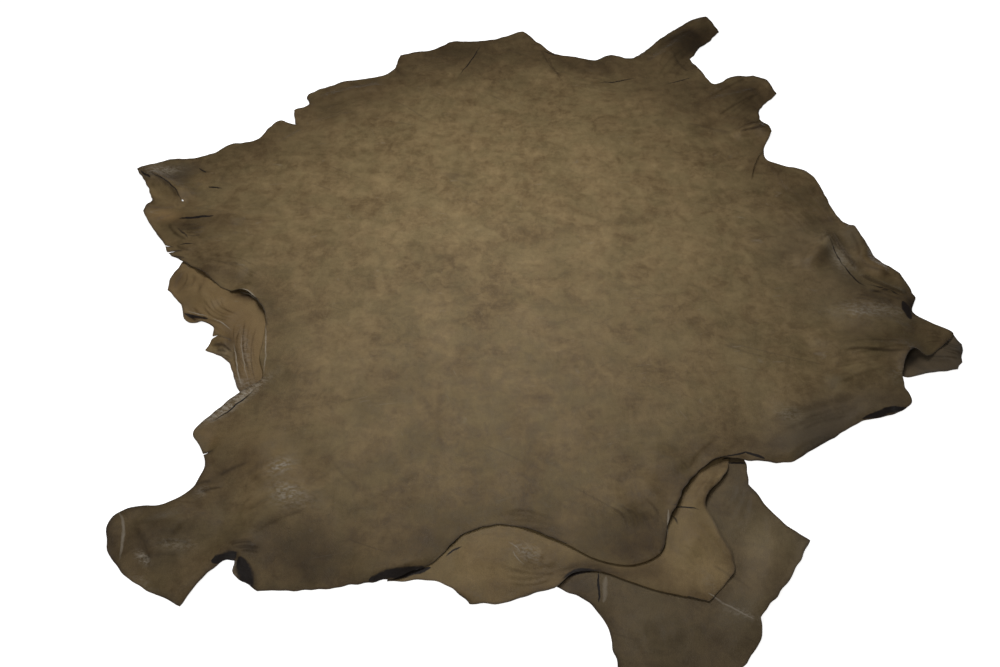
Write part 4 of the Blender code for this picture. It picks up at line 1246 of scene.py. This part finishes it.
# The pebbled grain: rounded cells with creases between them, and finer pores
def buildGrain():
    tree, given, out = newGroup(
        "leather grain",
        "ShaderNodeTree",
        [("Vector", "NodeSocketVector", None), ("Size", "NodeSocketFloat", 0.003)],
        [("Height", "NodeSocketFloat"), ("Creases", "NodeSocketFloat")],
    )
    scale = math2(tree, "DIVIDE", 1.0, given["Size"])
    inputs = {"Vector": given["Vector"], "Scale": scale, "Detail": 2.0}
    wobble = addNode(tree, "ShaderNodeTexNoise", None, inputs).outputs["Color"]
    amount = math2(tree, "MULTIPLY", given["Size"], 0.9)
    spread = addNode(tree, "ShaderNodeCombineXYZ", None, {"X": amount, "Y": amount, "Z": amount}).outputs[0]
    moved = vectorMath(tree, "MULTIPLY_ADD", wobble, spread, given["Vector"]).outputs[0]
    inputs = {"Vector": moved, "Scale": scale}
    cells = addNode(tree, "ShaderNodeTexVoronoi", {"feature": "DISTANCE_TO_EDGE"}, inputs).outputs["Distance"]
    pebbles = remap(tree, cells, 0.0, 0.30)
    fine = noise(tree, given["Vector"], math2(tree, "MULTIPLY", scale, 3.1), 2.0)
    height = math2(tree, "ADD", pebbles, math2(tree, "MULTIPLY", fine, 0.35))
    tree.links.new(height, out["Height"])
    tree.links.new(remap(tree, cells, 0.10, 0.0), out["Creases"])
    return tree


# Thin broken scratches in one direction
def buildScratches():
    tree, given, out = newGroup(
        "leather scratches",
        "ShaderNodeTree",
        [
            ("Vector", "NodeSocketVector", None),
            ("Size", "NodeSocketFloat", 0.05),
            ("Width", "NodeSocketFloat", 0.02),
            ("Patchiness", "NodeSocketFloat", 0.6),
        ],
        [("Mask", "NodeSocketFloat")],
    )
    scale = math2(tree, "DIVIDE", 1.0, given["Size"])
    lines = noise(tree, turned(tree, given["Vector"], 0.0, (0.14, 1.0, 1.0)), scale, 1.0, 0.5, 0.25)
    off = math2(tree, "ABSOLUTE", math2(tree, "SUBTRACT", lines, 0.5), 0.0)
    thin = remap(tree, math2(tree, "DIVIDE", off, given["Width"]), 1.0, 0.0)
    breaks = noise(tree, given["Vector"], math2(tree, "MULTIPLY", scale, 0.6), 3.0, 0.6)
    upper = math2(tree, "ADD", given["Patchiness"], 0.08)
    shown = remap(tree, breaks, given["Patchiness"], upper)
    tree.links.new(math2(tree, "MULTIPLY", thin, shown), out["Mask"])
    return tree


# One tapered line in the plan view. Along gives -1 to 1 from end to end, Side -1 to 1 over its width.
def buildLine():
    tree, given, out = newGroup(
        "leather line",
        "ShaderNodeTree",
        [
            ("Vector", "NodeSocketVector", None),
            ("Along", "NodeSocketVector", None),
            ("Along start", "NodeSocketFloat", 0.0),
            ("Side", "NodeSocketVector", None),
            ("Side start", "NodeSocketFloat", 0.0),
            ("Bow", "NodeSocketFloat", 0.0),
            ("Strength", "NodeSocketFloat", 1.0),
        ],
        [("Mask", "NodeSocketFloat")],
    )
    along = vectorMath(tree, "DOT_PRODUCT", given["Vector"], given["Along"]).outputs["Value"]
    along = math2(tree, "SUBTRACT", along, given["Along start"])
    side = vectorMath(tree, "DOT_PRODUCT", given["Vector"], given["Side"]).outputs["Value"]
    side = math2(tree, "SUBTRACT", side, given["Side start"])
    arch = math2(tree, "SUBTRACT", 1.0, math2(tree, "MULTIPLY", along, along))
    side = math2(tree, "SUBTRACT", side, math2(tree, "MULTIPLY", arch, given["Bow"]))
    shape = math2(tree, "SUBTRACT", arch, math2(tree, "MULTIPLY", side, side))
    tree.links.new(math2(tree, "MULTIPLY", shape, given["Strength"]), out["Mask"])
    return tree


mottleGroup = buildMottle()
grainGroup = buildGrain()
scratchGroup = buildScratches()
lineGroup = buildLine()


def useGroup(tree, group, inputs):
    return addNode(tree, "ShaderNodeGroup", {"node_tree": group}, inputs).outputs


def newMaterial(title):
    material = bpy.data.materials.new(title)
    material.use_nodes = True
    tree = material.node_tree
    shader = tree.nodes["Principled BSDF"]
    vector = addNode(tree, "ShaderNodeTexCoord").outputs["Object"]
    return material, tree, shader, vector


def attribute(tree, name):
    return addNode(tree, "ShaderNodeAttribute", {"attribute_name": name}).outputs["Fac"]


def bump(tree, height, distance, strength=1.0, below=None):
    inputs = {"Height": height, "Distance": distance, "Strength": strength}
    if below is not None:
        inputs["Normal"] = below
    return addNode(tree, "ShaderNodeBump", None, inputs).outputs[0]


# Painted shadow in cuts, gaps, under turned edges and along creases, and pale rubs, scratches and painted
# highlights on lit rims and ridges, thinner than the mesh can show. Less than 0 is pale.
Mark = namedtuple("Mark", "place x1 y1 x2 y2 bow width dark")
shadowHighlightAndRubLines = rowsOf(Mark, (
    ("foot edge", 0.854, -0.707, 0.979, -0.669, -0.003, 0.015, 0.92),
    ("shank underside", 1.033, -0.556, 1.158, -0.539, 0.0, 0.01, 0.85),
    ("ledge", 0.492, -0.822, 0.555, -0.8, 0.002, 0.007, 0.8),
    ("ledge end", 0.55, -0.8, 0.59, -0.823, 0.0, 0.01, 0.85),
    ("underside", -0.305, -1.124, -0.175, -1.092, -0.002, 0.02, 0.92),
    ("hollow foot", -1.002, 0.006, -0.952, -0.048, 0.003, 0.008, 0.45),
    # painted highlight along the lit ridge at the shank end
    ("shank end", -0.871, -0.962, -0.842, -1.082, 0.008, 0.008, -0.42),
    ("pale crease", 0.404, -1.149, 0.483, -1.209, 0.002, 0.006, -0.32),
    ("pale slot", 0.196, -1.112, 0.186, -1.171, 0.0, 0.013, -0.24),
    ("curl", 1.085, -0.304, 1.082, -0.372, 0.0, 0.026, 0.92),
    ("notch side", -0.583, -1.075, -0.55, -1.142, 0.0, 0.034, 0.95),
    ("notch", -0.643, -1.082, -0.589, -1.066, 0.004, 0.02, 0.95),
    # painted highlights on the lit rims of the bay's rolled edge and curls
    ("bay rim", -0.756, -0.265, -0.7, -0.3, 0.008, 0.005, -0.6),
    ("bay rim low", -0.664, -0.372, -0.631, -0.574, 0.005, 0.0045, -0.45),
    ("lobe curl", -0.887, -0.352, -0.817, -0.374, 0.003, 0.015, 0.9),
    ("strip crease", 0.506, -0.83, 0.548, -0.83, 0.001, 0.0055, 0.75),
    ("neck crease", 0.353, -0.947, 0.42, -0.959, 0.004, 0.0055, 0.65),
    ("pale line", 0.347, -0.959, 0.337, -1.014, 0.0, 0.005, -0.45),
    ("side crumple", 0.354, -0.967, 0.364, -0.992, 0.003, 0.006, 0.5),
    ("dark slot", 0.181, -1.103, 0.176, -1.171, 0.0, 0.0065, 0.85),
    ("lobe crease", -0.146, -1.068, -0.11, -1.042, 0.003, 0.0055, 0.85),
    ("under shadow", 0.098, -1.123, 0.179, -1.1, 0.01, 0.013, 0.85),
    ("scratch", -0.013, -1.03, 0.015, -1.059, 0.004, 0.0035, -0.4),
    ("scratch low", -0.002, -1.049, 0.023, -1.091, -0.004, 0.0035, -0.4),
    ("corner edge", -1.179, 0.265, -1.135, 0.224, 0.0, 0.009, 0.8),
    ("lobe curl rim", -0.89, -0.34, -0.812, -0.37, 0.005, 0.004, -0.45),
    ("crumple rim", -0.812, -0.37, -0.743, -0.414, 0.003, 0.004, -0.45),
    ("strip edge", -0.73, -0.45, -0.673, -0.611, -0.006, 0.0045, -0.5),
    ("strip line", -0.722, -0.414, -0.661, -0.598, -0.004, 0.0035, -0.35),
    ("belly slit", -0.102, 1.082, -0.183, 0.858, 0.004, 0.006, 0.85),
    ("hump slit", 0.329, 0.803, 0.477, 0.851, -0.004, 0.0065, 0.85),
    ("heel slit", 0.574, 0.803, 0.683, 0.851, -0.003, 0.0055, 0.8),
    ("crown crack", 0.137, 1.037, 0.2, 0.993, -0.004, 0.007, 0.8),
    ("neck slit", -1.005, 0.047, -0.896, 0.047, 0.002, 0.0087, 0.85),
    ("patch slit", -0.952, 0.201, -0.907, 0.196, 0.001, 0.008, 0.85),
    ("patch mark", -1.004, 0.3, -0.975, 0.274, 0.001, 0.0087, 0.75),
    ("corner overlap", -1.145, 0.247, -1.005, 0.112, 0.012, 0.005, 0.65),
    ("shred line", -0.974, -0.076, -0.929, -0.068, 0.003, 0.0072, 0.6),
    ("band fold", -0.735, -0.721, -0.637, -0.604, -0.004, 0.005, 0.7),
    ("fold line", 0.933, -0.044, 0.956, -0.173, 0.008, 0.006, 0.55),
    ("fold line middle", 0.957, -0.142, 1.002, -0.253, -0.006, 0.006, 0.7),
    ("fold line low", 0.997, -0.236, 1.09, -0.287, 0.006, 0.0065, 0.6),
    ("nick", 1.036, -0.263, 1.052, -0.267, 0.001, 0.008, 0.8),
    ("shank tip line", 1.149, -0.45, 1.174, -0.498, 0.002, 0.005, 0.6),
))


# How much the painted shadow lines and the pale rub and highlight lines cover
def lineShares(tree, vector):
    wobble = addNode(tree, "ShaderNodeTexNoise", None, {"Vector": vector, "Scale": 30.0, "Detail": 3.0})
    centred = vectorMath(tree, "SUBTRACT", wobble.outputs["Color"], (0.5, 0.5, 0.5)).outputs["Vector"]
    moved = vectorMath(tree, "MULTIPLY_ADD", centred, (0.011, 0.011, 0.0), vector).outputs["Vector"]
    flat = vectorMath(tree, "MULTIPLY", moved, (1.0, 1.0, 0.0)).outputs["Vector"]
    shares = [0.0, 0.0]
    for mark in shadowHighlightAndRubLines:
        start = np.array((mark.x1 - hideSizes["middleX"], mark.y1 - hideSizes["middleY"]))
        run = np.array((mark.x2 - mark.x1, mark.y2 - mark.y1))
        halfLength = np.hypot(*run) / 2
        halfWidth = mark.width / 2
        if abs(mark.bow) > 0.35 * mark.width:
            along = run / (2 * halfLength * halfLength)
            side = np.array((-run[1], run[0])) / (2 * halfLength * halfWidth)
            inputs = {
                "Vector": flat,
                "Along": (*along, 0.0),
                "Along start": float(along @ start) + 1.0,
                "Side": (*side, 0.0),
                "Side start": float(side @ start),
                "Bow": mark.bow / halfWidth,
                "Strength": abs(mark.dark),
            }
            mask = useGroup(tree, lineGroup, inputs)["Mask"]
        else:
            reach = np.sqrt(max(halfLength**2 - halfWidth**2, 1e-8))
            offset = run / (2 * halfLength) * reach
            middle = start + run / 2
            near = vectorMath(tree, "DISTANCE", flat, (*(middle - offset), 0.0)).outputs["Value"]
            far = vectorMath(tree, "DISTANCE", flat, (*(middle + offset), 0.0)).outputs["Value"]
            slope = abs(mark.dark) / (2 * (halfLength - reach))
            inputs = {0: math2(tree, "ADD", near, far), 1: -slope, 2: 2 * halfLength * slope}
            mask = addNode(tree, "ShaderNodeMath", {"operation": "MULTIPLY_ADD"}, inputs).outputs[0]
        kind = 0 if mark.dark > 0 else 1
        shares[kind] = math2(tree, "MAXIMUM", shares[kind], mask)
    uneven = remap(tree, noise(tree, vector, 90.0, 3.0, 0.6), 0.30, 0.52, 1.3, 2.0)
    return [math2(tree, "MULTIPLY", share, uneven) for share in shares]


grainLook = {
    "darkTan": (0.090, 0.057, 0.023, 1.0),
    "lightTan": (0.228, 0.161, 0.076, 1.0),
    "oliveTan": (0.148, 0.118, 0.053, 1.0),
    "warmTan": (0.205, 0.132, 0.056, 1.0),
    "paleRubAndHighlight": (0.265, 0.225, 0.170, 1.0),
    "vein": (0.070, 0.048, 0.027, 1.0),
    "edge": (0.042, 0.030, 0.021, 1.0),
    "greyTan": (0.140, 0.114, 0.079, 1.0),
    # painted shadow black for the dark line marks
    "shadowBlack": (0.012, 0.008, 0.006, 1.0),
    "cloudSize": 0.16,
    "fineCloudSize": 0.035,
    "speckSize": 0.011,
    "grainSize": 0.0032,
    "grainDepth": 0.00022,
    "puckerDepth": 0.0011,
    "roughness": 0.58,
    "tonePowers": (0.93, 1.00, 1.04),
}


def scratchLines(tree, vector, degrees, size, width, patchiness):
    path = turned(tree, vector, degrees, (1.0, 1.0, 1.0))
    inputs = {"Vector": path, "Size": size, "Width": width, "Patchiness": patchiness}
    return useGroup(tree, scratchGroup, inputs)["Mask"]


def buildGrainSide():
    look = grainLook
    material, tree, shader, vector = newMaterial("grainSide")
    broad = useGroup(tree, mottleGroup, {"Vector": vector, "Size": look["cloudSize"]})
    small = useGroup(tree, mottleGroup, {"Vector": vector, "Size": look["fineCloudSize"]})
    specks = remap(tree, noise(tree, vector, 1.0 / look["speckSize"], 3.0, 0.7), 0.30, 0.70)
    share = math2(tree, "MULTIPLY", broad["Clouds"], 0.26)
    parts = ((small["Clouds"], 0.34), (broad["Streaks"], 0.18), (small["Streaks"], 0.10), (specks, 0.12))
    for pattern, part in parts:
        share = math2(tree, "ADD", share, math2(tree, "MULTIPLY", pattern, part))
    share = math2(tree, "SUBTRACT", math2(tree, "MULTIPLY", share, 1.3), 0.15)
    color = mixColors(tree, share, look["darkTan"], look["lightTan"])
    hue = remap(tree, noise(tree, vector, 9.0, 3.0, 0.6), 0.40, 0.62)
    color = mixColors(tree, math2(tree, "MULTIPLY", hue, 0.30), color, look["oliveTan"])
    color = mixColors(tree, math2(tree, "MULTIPLY", small["Pale flecks"], 0.20), color, look["paleRubAndHighlight"])
    color = mixColors(tree, math2(tree, "MULTIPLY", small["Dark flecks"], 0.20), color, look["vein"])
    warm = attribute(tree, "warmth")
    color = mixColors(tree, warm, color, look["warmTan"])
    color = mixColors(tree, math2(tree, "MULTIPLY", warm, -1.0), color, look["greyTan"])
    veins = scratchLines(tree, vector, 24.0, 0.16, 0.012, 0.56)
    color = mixColors(tree, math2(tree, "MULTIPLY", veins, 0.35), color, look["vein"])
    acrossHide = scratchLines(tree, vector, -8.0, 0.050, 0.014, 0.60)
    downHide = scratchLines(tree, vector, 63.0, 0.036, 0.014, 0.62)
    scratched = math2(tree, "MAXIMUM", acrossHide, downHide)
    color = mixColors(tree, math2(tree, "MULTIPLY", scratched, 0.30), color, look["paleRubAndHighlight"])
    grain = useGroup(tree, grainGroup, {"Vector": vector, "Size": look["grainSize"]})
    color = mixColors(tree, math2(tree, "MULTIPLY", grain["Creases"], 0.35), color, look["vein"])
    edge = attribute(tree, "fromEdge")
    uneven = math2(tree, "MULTIPLY", small["Clouds"], 0.004)
    rim = remap(tree, math2(tree, "SUBTRACT", edge, uneven), 0.003, -0.003)
    color = mixColors(tree, math2(tree, "MULTIPLY", rim, 0.45), color, look["edge"])
    # the skin's own darker and lighter places, with the painted shade and highlight from the tables
    toneAndShade = attribute(tree, "toneAndShade")
    shades = {i: math2(tree, "POWER", toneAndShade, power) for i, power in enumerate(look["tonePowers"])}
    toneColor = addNode(tree, "ShaderNodeCombineColor", None, shades)
    color = mixColors(tree, 1.0, color, toneColor.outputs[0], "MULTIPLY")
    # pale rubs, and the painted highlight of the facet row
    rub = remap(tree, noise(tree, turned(tree, vector, 30.0, (1.0, 1.8, 1.0)), 85.0, 5.0, 0.75), 0.42, 0.60)
    rub = math2(tree, "MULTIPLY", rub, math2(tree, "MULTIPLY", attribute(tree, "wearAndHighlight"), 0.85))
    color = mixColors(tree, rub, color, look["paleRubAndHighlight"])
    shadowLines, rubAndHighlightLines = lineShares(tree, vector)
    # pale rubs and scratches, and painted highlights on lit rims and ridges
    color = mixColors(tree, rubAndHighlightLines, color, look["paleRubAndHighlight"])
    # painted shadow in cuts, gaps, creases and under turned edges
    color = mixColors(tree, shadowLines, color, look["shadowBlack"])
    tree.links.new(color, shader.inputs["Base Color"])
    rough = math2(tree, "ADD", look["roughness"] - 0.08, math2(tree, "MULTIPLY", small["Clouds"], 0.16))
    rough = math2(tree, "ADD", rough, math2(tree, "MULTIPLY", scratched, 0.12))
    tree.links.new(rough, shader.inputs["Roughness"])
    shader.inputs["Specular IOR Level"].default_value = 0.20
    puckers = noise(tree, vector, 34.0, 4.0, 0.6, 0.4)
    normal = bump(tree, puckers, look["puckerDepth"])
    normal = bump(tree, grain["Height"], look["grainDepth"], 1.0, normal)
    normal = bump(tree, math2(tree, "SUBTRACT", 1.0, scratched), 0.00015, 1.0, normal)
    tree.links.new(normal, shader.inputs["Normal"])
    return material


suedeLook = {
    "dark": (0.062, 0.043, 0.022, 1.0),
    "light": (0.145, 0.102, 0.055, 1.0),
    "napSize": 0.0016,
    "napDepth": 0.00035,
}


def buildFleshSide(title, shade):
    look = suedeLook
    material, tree, shader, vector = newMaterial(title)
    broad = useGroup(tree, mottleGroup, {"Vector": vector, "Size": 0.09})
    nap = noise(tree, vector, 1.0 / look["napSize"], 3.0, 0.7, 0.8)
    share = math2(tree, "MULTIPLY", broad["Clouds"], 0.55)
    share = math2(tree, "ADD", share, math2(tree, "MULTIPLY", nap, 0.45))
    dark = tuple(part * shade for part in look["dark"][:3]) + (1.0,)
    light = tuple(part * shade for part in look["light"][:3]) + (1.0,)
    color = mixColors(tree, share, dark, light)
    # the painted shade and highlight carried by this attribute darken and lighten the flesh side and cut edge
    # as well
    toneColor = addNode(tree, "ShaderNodeCombineColor", None, {i: attribute(tree, "toneAndShade") for i in range(3)})
    color = mixColors(tree, 1.0, color, toneColor.outputs[0], "MULTIPLY")
    tree.links.new(color, shader.inputs["Base Color"])
    shader.inputs["Roughness"].default_value = 0.95
    shader.inputs["Specular IOR Level"].default_value = 0.15
    shader.inputs["Sheen Weight"].default_value = 0.25
    shader.inputs["Sheen Roughness"].default_value = 0.5
    tree.links.new(bump(tree, nap, look["napDepth"]), shader.inputs["Normal"])
    return material


grainSide = buildGrainSide()
fleshSide = buildFleshSide("fleshSide", 1.0)
cutEdge = buildFleshSide("cutEdge", 0.75)
print("stage 3: materials")

# The middle surface gets its thickness and its three materials


def plainMesh(piece, title):
    graph = bpy.context.evaluated_depsgraph_get()
    mesh = bpy.data.meshes.new_from_object(piece.evaluated_get(graph), depsgraph=graph)
    mesh.name = title
    old = piece.data
    piece.modifiers.clear()
    piece.data = mesh
    bpy.data.meshes.remove(old)


bmesh.ops.translate(hideMesh, verts=hideMesh.verts, vec=(-hideSizes["middleX"], -hideSizes["middleY"], 0.0))
sheetMesh = bpy.data.meshes.new("leatherHide")
hideMesh.to_mesh(sheetMesh)
hideMesh.free()
for title, values in (("toneAndShade", toneAndShade), ("warmth", warmth), ("wearAndHighlight", wearAndHighlight), ("fromEdge", fromEdge)):
    layer = sheetMesh.attributes.new(title, "FLOAT", "POINT")
    layer.data.foreach_set("value", values.astype(np.float32))
for material in (grainSide, fleshSide, cutEdge):
    sheetMesh.materials.append(material)
sheetMesh.shade_smooth()
leatherHide = bpy.data.objects.new("leatherHide", sheetMesh)
bpy.context.scene.collection.objects.link(leatherHide)
wall = leatherHide.modifiers.new("thickness", "SOLIDIFY")
wall.thickness = hideSizes["thickness"]
wall.offset = 0.0
wall.material_offset = 1
wall.material_offset_rim = 2
plainMesh(leatherHide, "leatherHide")
leatherHide.data.set_sharp_from_angle(angle=math.radians(50.0))
print("stage 4: hide,", sum(len(p.vertices) - 2 for p in leatherHide.data.polygons), "triangles")

# Floor, light and camera

studio = {
    "floorDrop": 0.0006,
    "keyPlace": (-0.06, 0.16, 1.36),
    "keySize": 1.0,
    "keyPower": 21.0,
    "frontPlace": (-1.6, -2.6, 2.6),
    "frontSize": 1.2,
    "frontPower": 27.0,
    "worldStrength": 0.12,
}


def buildFloor():
    mesh = bpy.data.meshes.new("floor")
    half = 9.0
    z = -studio["floorDrop"]
    corners = [(-half, -half, z), (half, -half, z), (half, half, z), (-half, half, z)]
    mesh.from_pydata(corners, [], [(0, 1, 2, 3)])
    floor = bpy.data.objects.new("floor", mesh)
    bpy.context.scene.collection.objects.link(floor)
    material = bpy.data.materials.new("paleFloor")
    material.use_nodes = True
    shader = material.node_tree.nodes["Principled BSDF"]
    shader.inputs["Base Color"].default_value = (0.86, 0.86, 0.86, 1.0)
    shader.inputs["Roughness"].default_value = 0.9
    shader.inputs["Specular IOR Level"].default_value = 0.1
    shader.inputs["Emission Color"].default_value = (1.0, 1.0, 1.0, 1.0)
    shader.inputs["Emission Strength"].default_value = 0.85
    mesh.materials.append(material)


def buildLights():
    for title in ("key", "front"):
        light = bpy.data.lights.new(title + "Light", "AREA")
        light.shape = "DISK"
        light.size = studio[title + "Size"]
        light.energy = studio[title + "Power"]
        lamp = bpy.data.objects.new(title + "Light", light)
        lamp.location = studio[title + "Place"]
        aim = Vector((lamp.location.x, lamp.location.y, 0.0)) if title == "key" else Vector((0.0, 0.0, 0.0))
        lamp.rotation_euler = (aim - lamp.location).to_track_quat("-Z", "Y").to_euler()
        lamp.visible_camera = False
        bpy.context.scene.collection.objects.link(lamp)
    world = bpy.data.worlds.new("paleRoom")
    world.use_nodes = True
    background = world.node_tree.nodes["Background"]
    background.inputs["Color"].default_value = (1.0, 1.0, 1.0, 1.0)
    background.inputs["Strength"].default_value = studio["worldStrength"]
    bpy.context.scene.world = world


def buildCamera():
    data = bpy.data.cameras.new("camera")
    data.sensor_width = 36.0
    data.lens = 18.0 / math.tan(math.radians(31.0))
    camera = bpy.data.objects.new("camera", data)
    camera.location = (-0.02716, -1.85379, 1.652)
    camera.rotation_euler = (math.radians(42.0), 0.0, 0.0)
    bpy.context.scene.collection.objects.link(camera)
    bpy.context.scene.camera = camera


buildFloor()
buildLights()
buildCamera()
bpy.context.scene.view_settings.view_transform = "Standard"
print("stage 5: floor, light and camera")

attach(leatherHide, "root")
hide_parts("hide")
